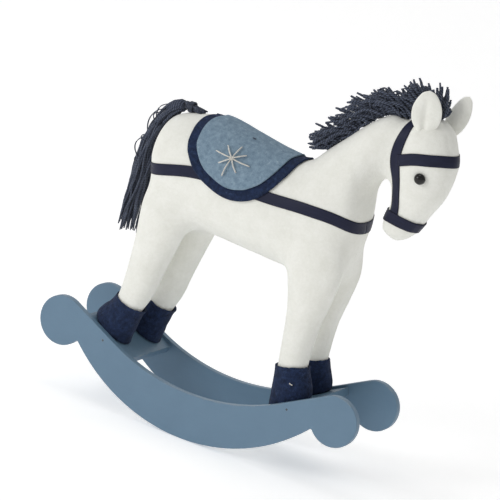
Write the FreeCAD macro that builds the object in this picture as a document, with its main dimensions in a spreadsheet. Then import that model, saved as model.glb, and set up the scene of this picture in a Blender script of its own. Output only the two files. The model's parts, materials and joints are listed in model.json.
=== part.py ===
import FreeCAD, Part
import Sketcher
import math
import os

# Rocking horse: a stuffed cloth horse on two painted board rockers.
# Millimetres, +X to the nose, +Y to the horse's left, +Z up.  The origin is the point midway between
# the rockers where their arcs touch the floor.

Vector = FreeCAD.Vector

SIZES = {
    # rockers and foot boards
    "rocker_gap": 72.2,          # clear width between the two rockers
    "rocker_thickness": 6.0,
    "rocker_depth": 40.8,        # height of the band at mid length
    "arc_radius": 165.0,         # underside, the running edge
    "hollow_radius": 185.0,      # upper edge
    "curl_reach": 138.3,         # centre of each round end
    "curl_height": 63.3,
    "curl_radius": 22.4,
    "notch_radius": 1.6,         # inner corner between the running arc and a round end
    "edge_round": 0.6,
    "board_thickness": 7.0,
    "board_length": 56.0,        # rear board, along its own slope
    "front_board_length": 48.0,
    "board_reach": 91.0,         # middle of the rear foot board; the front one starts level with it
    "board_recess": 2.5,         # below the rockers' upper edge
    "nail_diameter": 2.0,
    "nail_length": 18.0,
    "screw_diameter": 3.5,
    "screw_head": 7.0,
    "screw_length": 24.0,
    "screw_sink": 0.5,           # the head's depth inside the sloping board
    "dowel_diameter": 8.0,
    "dowel_length": 118.0,
    "rear_dowel_setback": 2.0,   # behind the ankle's middle
    # cloth horse
    "body_length": 206.0,        # rump to chest
    "body_depth": 108.0,         # belly to back
    "body_width": 75.0,
    "leg_length": 110.0,         # foot board to belly
    "leg_spread": 42.0,          # between the middles of a pair of legs
    "front_leg_reach": 80.5,     # of the right leg; the left one stands nearer the middle
    "rear_leg_reach": 84.5,
    "front_leg_stagger": 2.0,
    "rear_leg_stagger": 7.0,
    "ankle_width": 27.0,
    "neck_reach": 75.0,          # withers to poll, forwards
    "neck_rise": 64.0,           # withers to poll, upwards
    "head_length": 116.0,
    "head_depth": 60.0,
    "head_width": 46.0,
    "hoof_height": 30.0,
    "hoof_length": 40.0,
    "hoof_width": 29.5,
    "ear_length": 36.0,
    "ear_width": 23.0,
    "ear_thickness": 7.0,
    "eye_diameter": 10.0,
    # cloth, felt, ribbon and yarn
    "cloth_thickness": 1.5,
    "felt_thickness": 1.2,
    "ribbon_width": 10.0,
    "ribbon_thickness": 0.5,
    "sewn_gap": 0.2,             # between layers that are sewn together
    "saddle_length": 101.0,
    "saddle_drop": 57.0,         # back to the lowest edge of the flap
    "saddle_border": 9.5,
    "star_size": 30.0,
    "thread_width": 1.2,
    "thread_height": 0.6,
    "mane_height": 21.0,
    "mane_thickness": 15.0,
    "tail_length": 122.0,        # fall of the hank below the point where it is sewn on
    "tail_width": 18.0,
    "tail_root": 11.0,           # diameter where it is bound
    "tail_stub": 14.0,
    "tail_gap": 0.5,             # between the swinging tail and what stays still
}

doc = FreeCAD.newDocument("rocking_horse")
sheet = doc.addObject("Spreadsheet::Sheet", "sizes")
for row, (alias, number) in enumerate(SIZES.items(), start=1):
    sheet.set(f"A{row}", alias)
    sheet.set(f"B{row}", str(number))
    sheet.setAlias(f"B{row}", alias)
doc.recompute()


def size(alias):
    """One driving dimension, read back from the spreadsheet."""
    return float(sheet.get(alias))


sub_parts = []


def keep(thing, label):
    """Names a finished sub-part and puts it on the list that is exported."""
    thing.Label = label
    sub_parts.append(thing)
    return thing


def feature(label, shape):
    """A sub-part whose shape is worked out with Part's own functions."""
    thing = doc.addObject("Part::Feature", label)
    thing.Shape = shape
    thing.Placement = FreeCAD.Placement()
    return keep(thing, label)


# ---------------------------------------------------------------- rockers

def tangent_points():
    """Where the straight slope leaves the hollow and where it meets the round end.

    It is the inner tangent of two circles: with D the distance between their centres, it stands
    acos((R + r) / D) away from the line of centres.
    """
    hollow_centre = Vector(0, 0, size("rocker_depth") + size("hollow_radius"))
    curl_centre = Vector(size("curl_reach"), 0, size("curl_height"))
    line = curl_centre - hollow_centre
    lean = math.acos((size("hollow_radius") + size("curl_radius")) / line.Length)
    angle = math.atan2(line.z, line.x) - lean
    way = Vector(math.cos(angle), 0, math.sin(angle))
    return hollow_centre + way * size("hollow_radius"), curl_centre - way * size("curl_radius")


def notch_arc():
    """The small inside arc between the running arc and the round end: its centre, where it leaves
    the running arc and where it meets the round end.

    Its centre is where two circles cross, each wider than the real one by the notch's radius.
    """
    small = size("notch_radius")
    arc_centre = Vector(0, 0, size("arc_radius"))
    curl_centre = Vector(size("curl_reach"), 0, size("curl_height"))
    big, little = size("arc_radius") + small, size("curl_radius") + small
    line = curl_centre - arc_centre
    along = (big ** 2 - little ** 2 + line.Length ** 2) / (2 * line.Length)
    across = math.sqrt(big ** 2 - along ** 2)
    way = line * (1 / line.Length)
    centre = arc_centre + way * along + Vector(way.z, 0, -way.x) * across
    leaves = arc_centre + (centre - arc_centre) * (size("arc_radius") / big)
    meets = curl_centre + (centre - curl_centre) * (size("curl_radius") / little)
    return centre, leaves, meets


slope_start, slope_end = tangent_points()
notch_centre, notch_start, notch_end = notch_arc()
slope = math.atan2(slope_end.z - slope_start.z, slope_end.x - slope_start.x)


def plane_of(body, role):
    """One of a body's own origin planes."""
    return next(item for item in body.Origin.OriginFeatures if item.Role == role)


def sketch_arc(centre, radius, first, last):
    """An arc from one point to the other, anticlockwise, in the sketch's plane (x, z)."""
    start = math.atan2(first.z - centre.z, first.x - centre.x)
    end = math.atan2(last.z - centre.z, last.x - centre.x)
    circle = Part.Circle(Vector(centre.x, centre.z, 0), Vector(0, 0, 1), radius)
    return Part.ArcOfCircle(circle, start, end)


def mirrored(point):
    """The same point on the other side of mid length."""
    return Vector(-point.x, 0, point.z)


def flat(point):
    """A point of the side view in the sketch's own coordinates."""
    return Vector(point.x, point.z, 0)


def rocker_outline(body, name):
    """The rocker's outline: running arc, two round ends, two straight slopes and the hollow."""
    sketch = body.newObject("Sketcher::SketchObject", name)
    sketch.AttachmentSupport = (plane_of(body, "XZ_Plane"), [""])
    sketch.MapMode = "FlatFace"
    arc_centre = Vector(0, 0, size("arc_radius"))
    hollow_centre = Vector(0, 0, size("rocker_depth") + size("hollow_radius"))
    curl_centre = Vector(size("curl_reach"), 0, size("curl_height"))
    running, right_notch, right_curl, right_slope, hollow, left_slope, left_curl, left_notch = (
        sketch.addGeometry([
            sketch_arc(arc_centre, size("arc_radius"), mirrored(notch_start), notch_start),
            sketch_arc(notch_centre, size("notch_radius"), notch_end, notch_start),
            sketch_arc(curl_centre, size("curl_radius"), notch_end, slope_end),
            Part.LineSegment(flat(slope_end), flat(slope_start)),
            sketch_arc(hollow_centre, size("hollow_radius"), mirrored(slope_start), slope_start),
            Part.LineSegment(flat(mirrored(slope_start)), flat(mirrored(slope_end))),
            sketch_arc(mirrored(curl_centre), size("curl_radius"), mirrored(slope_end),
                       mirrored(notch_end)),
            sketch_arc(mirrored(notch_centre), size("notch_radius"), mirrored(notch_start),
                       mirrored(notch_end)),
        ], False))
    start, end, centre = 1, 2, 3
    vertical_axis = -2
    origin = (-1, 1)
    rules = [
        Sketcher.Constraint("Tangent", running, end, right_notch, end),
        Sketcher.Constraint("Tangent", right_notch, start, right_curl, start),
        Sketcher.Constraint("Tangent", right_curl, end, right_slope, start),
        Sketcher.Constraint("Tangent", right_slope, end, hollow, end),
        Sketcher.Constraint("Tangent", hollow, start, left_slope, start),
        Sketcher.Constraint("Tangent", left_slope, end, left_curl, start),
        Sketcher.Constraint("Tangent", left_curl, end, left_notch, end),
        Sketcher.Constraint("Tangent", left_notch, start, running, start),
        Sketcher.Constraint("PointOnObject", running, centre, vertical_axis),
        Sketcher.Constraint("PointOnObject", hollow, centre, vertical_axis),
        Sketcher.Constraint("Symmetric", right_curl, centre, left_curl, centre, vertical_axis),
        Sketcher.Constraint("Equal", right_curl, left_curl),
        Sketcher.Constraint("Equal", right_notch, left_notch),
    ]
    sketch.addConstraint(rules)
    driven = [
        ("Radius", (running,), "sizes.arc_radius"),
        ("DistanceY", (*origin, running, centre), "sizes.arc_radius"),
        ("Radius", (hollow,), "sizes.hollow_radius"),
        ("DistanceY", (*origin, hollow, centre), "sizes.rocker_depth + sizes.hollow_radius"),
        ("Radius", (right_curl,), "sizes.curl_radius"),
        ("Radius", (right_notch,), "sizes.notch_radius"),
        ("DistanceX", (*origin, right_curl, centre), "sizes.curl_reach"),
        ("DistanceY", (*origin, right_curl, centre), "sizes.curl_height"),
    ]
    starting = [
        size("arc_radius"),
        size("arc_radius"),
        size("hollow_radius"),
        size("rocker_depth") + size("hollow_radius"),
        size("curl_radius"),
        size("notch_radius"),
        size("curl_reach"),
        size("curl_height"),
    ]
    for (kind, places, formula), number in zip(driven, starting):
        index = sketch.addConstraint(Sketcher.Constraint(kind, *places, number))
        sketch.setExpression(f"Constraints[{index}]", formula)
    return sketch


def on_board(along, above):
    """A point of a foot board's section: along its slope from the nails, and above its middle
    plane.  It is given for the front board; the rear one is mirrored."""
    middle_x = size("board_reach")
    edge_z = slope_start.z + (middle_x - slope_start.x) * math.tan(slope)
    drop = size("board_recess") + size("board_thickness") / 2
    way = Vector(math.cos(slope), 0, math.sin(slope))
    up = Vector(-math.sin(slope), 0, math.cos(slope))
    return Vector(middle_x, 0, edge_z) - up * drop + way * along + up * above


def board_top_at(x):
    """Height of the foot board's upper face at a distance x from mid length, either end."""
    top = on_board(0, size("board_thickness") / 2)
    return top.z + (abs(x) - top.x) * math.tan(slope)


def nail_points():
    """Two nails into each end of the assembly: one per board and rocker, on the board's middle."""
    middle = on_board(0, 0)
    return [Vector(middle.x, 0, middle.z), Vector(-middle.x, 0, middle.z)]


def make_rocker(label, side):
    """One rocker: a board cut to the outline, drilled for the nails of the two foot boards."""
    body = doc.addObject("PartDesign::Body", label)
    outline = rocker_outline(body, label + "_outline")
    pad = body.newObject("PartDesign::Pad", label + "_board")
    pad.Profile = outline
    pad.setExpression("Length", "sizes.rocker_thickness")
    doc.recompute()
    long_edges = [f"Edge{number}" for number, edge in enumerate(pad.Shape.Edges, start=1)
                  if abs(edge.BoundBox.YLength) < 0.01]
    rounding = body.newObject("PartDesign::Fillet", label + "_edges")
    rounding.Base = (pad, long_edges)
    rounding.setExpression("Radius", "sizes.edge_round")
    doc.recompute()
    holes = body.newObject("Sketcher::SketchObject", label + "_nail_holes")
    holes.AttachmentSupport = (plane_of(body, "XZ_Plane"), [""])
    holes.MapMode = "FlatFace"
    for point in nail_points():
        circle = Part.Circle(flat(point), Vector(0, 0, 1), size("nail_diameter") / 2)
        holes.addGeometry(circle, False)
    doc.recompute()
    before = body.Shape.Volume
    pocket = body.newObject("PartDesign::Pocket", label + "_nail_bores")
    pocket.Profile = holes
    pocket.Type = 1
    pocket.Midplane = True
    doc.recompute()
    if not body.Shape.Volume < before:
        raise RuntimeError("the nail bores cut nothing: " + label)
    if side < 0:
        body.setExpression("Placement.Base.y", "-sizes.rocker_gap / 2")
    else:
        body.setExpression("Placement.Base.y", "sizes.rocker_gap / 2 + sizes.rocker_thickness")
    return keep(body, label)


make_rocker("rocker_right", -1)
make_rocker("rocker_left", 1)

# ---------------------------------------------------------------- foot boards and fasteners

LEGS = {
    "front_right": (1, -1),
    "front_left": (1, 1),
    "rear_right": (-1, -1),
    "rear_left": (-1, 1),
}


def leg_reach(end, side):
    """Where a leg's ankle stands, from mid length.  The left legs were sewn on nearer the middle."""
    if end > 0:
        return size("front_leg_reach") - (size("front_leg_stagger") if side > 0 else 0)
    return (size("rear_leg_stagger") if side > 0 else 0) - size("rear_leg_reach")


def dowel_axis(end, side):
    """Where the stiffening dowel of a leg stands, from mid length."""
    return leg_reach(end, side) - (0 if end > 0 else size("rear_dowel_setback"))


def cylinder(base, height, diameter, way=Vector(0, 0, 1)):
    return Part.makeCylinder(diameter / 2, height, base, way)


def nail_shapes():
    """Each nail starts flush with the rocker's outer face and runs in to the board's end."""
    half = size("rocker_gap") / 2 + size("rocker_thickness")
    shapes = []
    for point in nail_points():
        for side in (-1, 1):
            base = Vector(point.x, side * half, point.z)
            shapes.append(cylinder(base, size("nail_length"), size("nail_diameter"), Vector(0, -side, 0)))
    return shapes


def screw_shapes(ends=(1, -1)):
    """Countersunk screws up through the foot boards into the dowels."""
    head, shank = size("screw_head"), size("screw_diameter")
    shapes = []
    for end, side in LEGS.values():
        if end not in ends:
            continue
        x = dowel_axis(end, side)
        bottom = screw_seat(x)
        base = Vector(x, side * size("leg_spread") / 2, bottom)
        cone = Part.makeCone(head / 2, shank / 2, (head - shank) / 2, base, Vector(0, 0, 1))
        shapes.append(cone.fuse(cylinder(base, size("screw_length"), shank)).removeSplitter())
    return shapes


def screw_seat(x):
    """Height of a screw head's underside, sunk well inside the sloping board."""
    under = board_top_at(x) - size("board_thickness") / math.cos(slope)
    return under + size("screw_head") / 2 * math.tan(slope) + size("screw_sink")


def make_board(label, end):
    """A foot board: a box laid on the slope between the rockers, bored for nails and screws."""
    box = doc.addObject("Part::Box", label + "_blank")
    box.setExpression("Length", "sizes.front_board_length" if end > 0 else "sizes.board_length")
    box.setExpression("Width", "sizes.rocker_gap")
    box.setExpression("Height", "sizes.board_thickness")
    corner = on_board(-size("board_length") / 2, -size("board_thickness") / 2)
    lean = -math.degrees(slope)
    if end < 0:
        corner = mirrored(on_board(size("board_length") / 2, -size("board_thickness") / 2))
        lean = -lean
    corner.y = -size("rocker_gap") / 2
    box.Placement = FreeCAD.Placement(corner, FreeCAD.Rotation(Vector(0, 1, 0), lean))
    bores = doc.addObject("Part::Feature", label + "_bores")
    tools = nail_shapes() + screw_shapes((end,))
    for other_end, side in LEGS.values():
        if other_end == end:
            x = dowel_axis(end, side)
            seat = Vector(x, side * size("leg_spread") / 2, screw_seat(x))
            tools.append(cylinder(seat, size("board_thickness") * 2, size("screw_head"), Vector(0, 0, -1)))
    bores.Shape = Part.makeCompound(tools)
    cut = doc.addObject("Part::Cut", label)
    cut.Base = box
    cut.Tool = bores
    return keep(cut, label)


make_board("foot_board_front", 1)
make_board("foot_board_rear", -1)
feature("rocker_nails", Part.makeCompound(nail_shapes()))
feature("leg_screws", Part.makeCompound(screw_shapes()))

# ---------------------------------------------------------------- the cloth horse's own form

belly_height = board_top_at(size("front_leg_reach")) + size("leg_length")

# Side view of the trunk and neck.  Each row is one slice, from rump to poll: the upper point, the
# lower point and the half width.  Trunk rows are in shares of the body's length from mid length,
# of its depth above the belly, and of half its width.
TRUNK = [
    ((-0.472, 0.76), (-0.474, 0.46), 0.40),
    ((-0.462, 0.84), (-0.464, 0.33), 0.63),
    ((-0.428, 0.92), (-0.432, 0.19), 0.83),
    ((-0.340, 0.98), (-0.340, 0.08), 0.95),
    ((-0.195, 1.00), (-0.195, 0.055), 1.00),
    ((-0.050, 0.95), (-0.050, 0.035), 1.00),
    ((0.097, 0.90), (0.097, 0.015), 0.99),
    ((0.218, 0.90), (0.233, 0.00), 0.96),
]
# Neck rows give the crest in shares of the neck's reach and rise from the withers, and the throat
# in shares of the body's length and depth.
NECK = [
    ((0.227, 0.27), (0.455, 0.02), 0.92),
    ((0.440, 0.52), (0.535, 0.36), 0.80),
    ((0.627, 0.74), (0.523, 0.70), 0.68),
    ((0.813, 0.91), (0.558, 0.91), 0.58),
    ((1.000, 1.00), (0.620, 1.02), 0.50),
]
# The head hangs nose down.  Rows are slices from muzzle to poll: height and forward place in
# shares of the head's length and depth, then depth and width in shares of the head's own.
HEAD = [
    (0.010, -0.150, 0.15, 0.15),
    (0.065, -0.165, 0.46, 0.54),
    (0.155, -0.115, 0.60, 0.66),
    (0.275, -0.030, 0.66, 0.74),
    (0.380, 0.005, 0.82, 0.84),
    (0.535, 0.015, 0.97, 0.95),
    (0.705, 0.005, 1.02, 1.00),
    (0.835, -0.010, 0.86, 0.94),
    (0.920, 0.000, 0.68, 0.76),
    (0.985, -0.010, 0.35, 0.38),
]
# Legs from the belly down: share of the leg's length above the foot board, half length and half
# width in shares of half the ankle's width, and the forward place in millimetres from the ankle's.
FRONT_LEG = [
    (0.08, 1.04, 0.96, 1.0),
    (0.40, 1.10, 1.02, 0.0),
    (0.66, 1.24, 1.12, 0.5),
    (0.86, 1.56, 1.20, 1.5),
    (1.08, 2.05, 1.18, 0.0),
    (1.36, 2.25, 1.00, -4.0),
]
REAR_LEG = [
    (0.12, 1.02, 0.96, -7.0),
    (0.25, 1.06, 0.98, -3.5),
    (0.40, 1.22, 1.02, 2.5),
    (0.62, 1.36, 1.12, 7.0),
    (0.88, 1.62, 1.20, 12.0),
    (1.14, 2.00, 1.12, 16.0),
    (1.38, 2.05, 0.80, 17.0),
]
SLICE_POINTS = 16
REACH = size("rocker_gap") + size("body_width")   # further across than any piece of the horse


def slice_wire(centre, way, half_long, half_wide):
    """A closed curve through points of an ellipse: one half axis along way in the side view, the
    other across the horse."""
    points = []
    for step in range(SLICE_POINTS):
        turn = 2 * math.pi * step / SLICE_POINTS
        across = Vector(0, half_wide * math.sin(turn), 0)
        points.append(centre + way * (half_long * math.cos(turn)) + across)
    curve = Part.BSplineCurve()
    curve.interpolate(Points=points, PeriodicFlag=True)
    return Part.Wire([curve.toShape()])


def lofted(wires):
    return Part.makeLoft(wires, True, False)


def trunk_rows():
    """Upper point, lower point and half width of every trunk and neck slice, in millimetres."""
    long, deep = size("body_length"), size("body_depth")
    half = size("body_width") / 2
    rows = []
    for (top_x, top_z), (low_x, low_z), share in TRUNK:
        top = Vector(top_x * long, 0, belly_height + top_z * deep)
        low = Vector(low_x * long, 0, belly_height + low_z * deep)
        rows.append((top, low, share * half))
    withers = rows[-1][0]
    for (reach, rise), (low_x, low_z), share in NECK:
        top = withers + Vector(reach * size("neck_reach"), 0, rise * size("neck_rise"))
        low = Vector(low_x * long, 0, belly_height + low_z * deep)
        rows.append((top, low, share * half))
    return rows


def trunk(proud):
    """Trunk and neck as one loft, its skin moved outwards by proud."""
    wires = []
    rows = trunk_rows()
    for number, (top, low, half_wide) in enumerate(rows):
        way = (top - low) * (1 / (top - low).Length)
        centre = (top + low) * 0.5
        if number == 0:
            centre = centre - Vector(proud, 0, 0)
        wires.append(slice_wire(centre, way, (top - low).Length / 2 + proud, half_wide + proud))
    return lofted(wires)


def poll_point():
    return trunk_rows()[-1][0]


def head_base():
    """The head's own reference: straight below its poll, at the muzzle's lowest level."""
    poll = poll_point()
    crown = poll.z + 0.052 * size("head_length")
    return Vector(poll.x + 0.467 * size("head_depth"), 0, crown - size("head_length"))


def head_rows():
    """Centre, half depth and half width of every head slice, in millimetres."""
    base = head_base()
    rows = []
    for up, forward, deep, wide in HEAD:
        centre = base + Vector(forward * size("head_depth"), 0, up * size("head_length"))
        rows.append((centre, deep * size("head_depth") / 2, wide * size("head_width") / 2))
    return rows


def head(proud):
    wires = []
    rows = head_rows()
    for number, (centre, deep, wide) in enumerate(rows):
        lift = 0
        if number == 0:
            lift = -proud
        if number == len(rows) - 1:
            lift = proud
        place = centre + Vector(0, 0, lift)
        wires.append(slice_wire(place, Vector(1, 0, 0), deep + proud, wide + proud))
    return lofted(wires)


def leg(end, side, proud):
    """One leg from inside its hoof up into the trunk."""
    rows = FRONT_LEG if end > 0 else REAR_LEG
    reach = leg_reach(end, side)
    floor = board_top_at(reach)
    half = size("ankle_width") / 2
    wires = []
    for number, (up, long, wide, forward) in enumerate(rows):
        lift = -proud if number == 0 else 0
        centre = Vector(reach + forward, side * size("leg_spread") / 2,
                        floor + up * size("leg_length") + lift)
        wires.append(slice_wire(centre, Vector(1, 0, 0), long * half + proud, wide * half + proud))
    return lofted(wires)


def whole_horse(proud):
    others = [head(proud)] + [leg(end, side, proud) for end, side in LEGS.values()]
    return trunk(proud).fuse(others)


outer = whole_horse(0.0)
inner = whole_horse(-size("cloth_thickness"))


def skin(form, low, high):
    """What lies between two distances outside a form."""
    return form(high).cut(form(low))


def block(x0, x1, y0, y1, z0, z1):
    return Part.makeBox(x1 - x0, y1 - y0, z1 - z0, Vector(x0, y0, z0))


def prism(points, half_width):
    """The side view polygon through points, carried across the horse."""
    corners = [Vector(p.x, -half_width, p.z) for p in points]
    face = Part.Face(Part.makePolygon(corners + corners[:1]))
    return face.extrude(Vector(0, 2 * half_width, 0))


def band(points, width):
    """A strip of even width along a line in the side view, carried across the horse."""
    upper, lower = [], []
    for number, point in enumerate(points):
        before = points[max(number - 1, 0)]
        after = points[min(number + 1, len(points) - 1)]
        way = (after - before) * (1 / (after - before).Length)
        side = Vector(-way.z, 0, way.x) * (width / 2)
        upper.append(point + side)
        lower.append(point - side)
    return prism(upper + lower[::-1], REACH)


gap = size("sewn_gap")
ribbon_low = gap
ribbon_high = ribbon_low + size("ribbon_thickness")
pad_low = ribbon_high + gap
pad_high = pad_low + size("felt_thickness")
flap_low = pad_high + gap
flap_high = flap_low + size("felt_thickness")

# ---------------------------------------------------------------- dowels, stuffing and covers


def board_side(end):
    """Everything under the plane of a foot board's upper face, out to a good distance."""
    middle = on_board(0, size("board_thickness") / 2)
    lean = -math.degrees(slope)
    if end < 0:
        middle = mirrored(middle)
        lean = -lean
    slab = block(-REACH, REACH, -REACH, REACH, -REACH, 0)
    slab.Placement = FreeCAD.Placement(middle, FreeCAD.Rotation(Vector(0, 1, 0), lean))
    return slab


def dowel_blank(end, side):
    x = dowel_axis(end, side)
    foot = board_top_at(x)
    base = Vector(x, side * size("leg_spread") / 2, foot - size("dowel_diameter"))
    stick = cylinder(base, size("dowel_length") + size("dowel_diameter"), size("dowel_diameter"))
    return stick.cut(board_side(end))


dowels = {name: dowel_blank(*where) for name, where in LEGS.items()}
all_dowels = Part.makeCompound(list(dowels.values()))
all_screws = Part.makeCompound(screw_shapes())
for name, stick in dowels.items():
    feature("leg_dowel_" + name, stick.cut(all_screws))
feature("stuffing", inner.cut(all_dowels))

cloth = outer.cut(inner).cut(all_dowels)
inner_seam = 0.9 * size("leg_spread") / 2
seam_rise = 0.11 * size("body_depth")
belly_zone = block(-REACH * 2, REACH * 2, -inner_seam, inner_seam, 0, belly_height + seam_rise)
face_seam = 0.2 * size("head_width")
head_foot = head_base()
face_zone = block(head_foot.x - face_seam / 2, head_foot.x + REACH, -face_seam, face_seam, 0, 5 * REACH)
right_zone = block(-REACH * 3, REACH * 3, -REACH, 0, 0, REACH * 5)
sides = cloth.cut(belly_zone).cut(face_zone)
feature("belly_gusset", cloth.common(belly_zone))
feature("head_gusset", cloth.common(face_zone))
feature("cover_right", sides.common(right_zone))
feature("cover_left", sides.cut(right_zone))

# ---------------------------------------------------------------- hooves


def tilted(rise):
    """A way along the horse that climbs by rise for each unit forwards."""
    return Vector(1, 0, rise) * (1 / math.hypot(1, rise))


def hoof(end, side):
    """A felt boot round the leg's lower end, standing flat on its foot board."""
    reach = leg_reach(end, side)
    toe = (0.125 if end > 0 else -0.3125) * size("hoof_length")
    half_long, half_wide = size("hoof_length") / 2, size("hoof_width") / 2
    x = reach + toe
    y = side * size("leg_spread") / 2
    ground = tilted(end * math.tan(slope))
    sole = Vector(x, y, board_top_at(x))
    rise = size("hoof_height")
    wires = [
        slice_wire(sole, ground, half_long * 0.93, half_wide * 0.93),
        slice_wire(sole + Vector(-0.05 * toe, 0, 0.17 * rise), ground, half_long, half_wide),
        slice_wire(sole + Vector(-0.40 * toe, 0, 0.55 * rise), tilted(end * 0.36), half_long * 0.92,
                   half_wide),
        slice_wire(sole + Vector(-1.00 * toe, 0, rise), tilted(0.20 if end > 0 else -0.34),
                   half_long * 0.85, half_wide * 0.99),
    ]
    return lofted(wires).cut(outer).cut(all_dowels).cut(inner)


for name, where in LEGS.items():
    feature("hoof_" + name, hoof(*where))

# ---------------------------------------------------------------- ribbons

body_ribbon_line = [
    Vector(-0.60 * size("body_length"), 0, belly_height + 0.44 * size("body_depth")),
    Vector(-0.45 * size("body_length"), 0, belly_height + 0.48 * size("body_depth")),
    Vector(-0.20 * size("body_length"), 0, belly_height + 0.59 * size("body_depth")),
    Vector(0.30 * size("body_length"), 0, belly_height + 0.60 * size("body_depth")),
    Vector(0.65 * size("body_length"), 0, belly_height + 0.55 * size("body_depth")),
]
around_body = skin(trunk, ribbon_low, ribbon_high)
feature("body_ribbon", around_body.common(band(body_ribbon_line, size("ribbon_width"))))


def on_head(forward, up):
    """A side view point in shares of the head's depth and length from its own reference."""
    return head_foot + Vector(forward * size("head_depth"), 0, up * size("head_length"))


cheek_line = [on_head(-0.25, 1.12), on_head(-0.30, 0.76), on_head(-0.30, 0.59), on_head(-0.24, 0.43),
              on_head(-0.20, 0.28), on_head(-0.18, 0.20)]
brow_line = [on_head(-0.30, 0.64), on_head(-0.18, 0.665), on_head(0.21, 0.745), on_head(0.60, 0.77)]
nose_line = [on_head(-0.60, 0.215), on_head(-0.10, 0.205), on_head(0.60, 0.155)]
neck_clear = trunk(ribbon_low)
around_head = skin(head, ribbon_low, ribbon_high).cut(neck_clear)
over_head = skin(head, ribbon_high + gap, ribbon_high + gap + size("ribbon_thickness"))
cheek = around_head.common(band(cheek_line, size("ribbon_width")))
brow_zone = block(on_head(-0.25, 0).x, 2 * REACH, -REACH, REACH, 0, 5 * REACH)
feature("cheek_ribbon", cheek)
feature("browband", around_head.common(band(brow_line, size("ribbon_width"))).common(brow_zone).cut(cheek))
feature("noseband", over_head.common(band(nose_line, size("ribbon_width"))).cut(neck_clear))

# ---------------------------------------------------------------- saddle


def saddle_outline(inset):
    """The flap seen from the side: straight at the back, a half ellipse below."""
    half = size("saddle_length") / 2 - inset
    middle_x = -0.03 * size("body_length")
    back = belly_height + size("body_depth")
    bend = back - size("saddle_drop") * 0.45
    deep = size("saddle_drop") * 0.55 - inset
    steps = 24
    points = [Vector(middle_x + half, 0, back + REACH / 2)]
    for step in range(steps + 1):
        turn = math.pi * step / steps
        points.append(Vector(middle_x + half * math.cos(turn), 0, bend - deep * math.sin(turn)))
    points.append(Vector(middle_x - half, 0, back + REACH / 2))
    return prism(points, REACH)


feature("saddle_pad", skin(trunk, pad_low, pad_high).common(saddle_outline(0)))
feature("saddle_flap", skin(trunk, flap_low, flap_high).common(saddle_outline(size("saddle_border"))))


def star(side):
    """Eight stitched rays that cross on the flap's flank."""
    middle = Vector(-0.063 * size("body_length"), 0, belly_height + 0.83 * size("body_depth"))
    rays = None
    for step in range(4):
        turn = math.radians(10 + 45 * step)
        way = Vector(math.cos(turn), 0, math.sin(turn)) * (size("star_size") / 2)
        bar = band([middle - way, middle + way], size("thread_width"))
        rays = bar if rays is None else rays.fuse(bar)
    half = block(-REACH, REACH, 0, REACH, 0, 5 * REACH)
    if side < 0:
        half = block(-REACH, REACH, -REACH, 0, 0, 5 * REACH)
    return skin(trunk, flap_high, flap_high + size("thread_height")).common(rays).common(half)


feature("star_right", star(-1))
feature("star_left", star(1))

# ---------------------------------------------------------------- ears and eyes


def across_at(form, x, z, side):
    """How far out a form's surface is on one side, at a place in the side view."""
    line = Part.makeLine(Vector(x, side * REACH, z), Vector(x, 0, z))
    return line.common(form).BoundBox.YMin if side < 0 else line.common(form).BoundBox.YMax


def top_at(form, x):
    """Height of a form's upper surface at mid width."""
    line = Part.makeLine(Vector(x, 0, belly_height), Vector(x, 0, belly_height + 3 * REACH))
    return line.common(form).BoundBox.ZMax


head_clear = head(ribbon_high + gap)
EAR_SLICES = [(-0.10, 0.70, 0.80), (0.15, 0.90, 1.00), (0.45, 1.00, 1.00), (0.72, 0.80, 0.85),
              (0.90, 0.48, 0.60), (1.00, 0.16, 0.25)]


def ear(side):
    """A flat stuffed leaf that stands on the crown and leans outwards."""
    root = on_head(0.0 if side < 0 else 0.10, 0.90 if side < 0 else 0.86)
    root.y = side * 0.62 * size("head_width") / 2
    lean = Vector(0.02 if side < 0 else 0.22, side * 0.22, 1)
    axis = lean * (1 / lean.Length) * size("ear_length")
    wires = []
    for along, wide, thick in EAR_SLICES:
        centre = root + axis * along
        wires.append(slice_wire(centre, Vector(1, 0, 0), wide * size("ear_width") / 2,
                                thick * size("ear_thickness") / 2))
    return lofted(wires).cut(head_clear)


def eye(side):
    """A round bead, sunk a little into the cheek."""
    place = on_head(0.132, 0.553)
    place.y = across_at(outer, place.x, place.z, side) - side * 0.10 * size("eye_diameter")
    return Part.makeSphere(size("eye_diameter") / 2, place).cut(outer)


ears = {"ear_right": ear(-1), "ear_left": ear(1)}
for label, shape in ears.items():
    feature(label, shape)
feature("eye_right", eye(-1))
feature("eye_left", eye(1))

# ---------------------------------------------------------------- mane


def mane():
    """A standing fringe of yarn from the withers over the poll to the forelock."""
    rows = trunk_rows()
    crest = [rows[len(TRUNK) - 1][0]] + [top for top, low, share in rows[len(TRUNK):]]
    crest.append(on_head(0.03, 1.0))
    shares = [0.30, 0.85, 1.00, 1.05, 1.10, 1.15, 1.25]
    upper, lower = [], []
    for number, (point, share) in enumerate(zip(crest, shares)):
        before = crest[max(number - 1, 0)]
        after = crest[min(number + 1, len(crest) - 1)]
        way = (after - before) * (1 / (after - before).Length)
        out = Vector(-way.z, 0, way.x)
        upper.append(point + out * (share * size("mane_height")))
        lower.append(point - out * (0.2 * size("mane_height")))
    fringe = prism(upper + lower[::-1], size("mane_thickness") / 2)
    fringe = fringe.cut(trunk(gap)).cut(head_clear)
    for shape in ears.values():
        fringe = fringe.cut(shape)
    return fringe


mane_clear = 2.0                 # between the yarn and the saddle
feature("mane", mane().cut(saddle_outline(-mane_clear)))

# ---------------------------------------------------------------- tail

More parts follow.
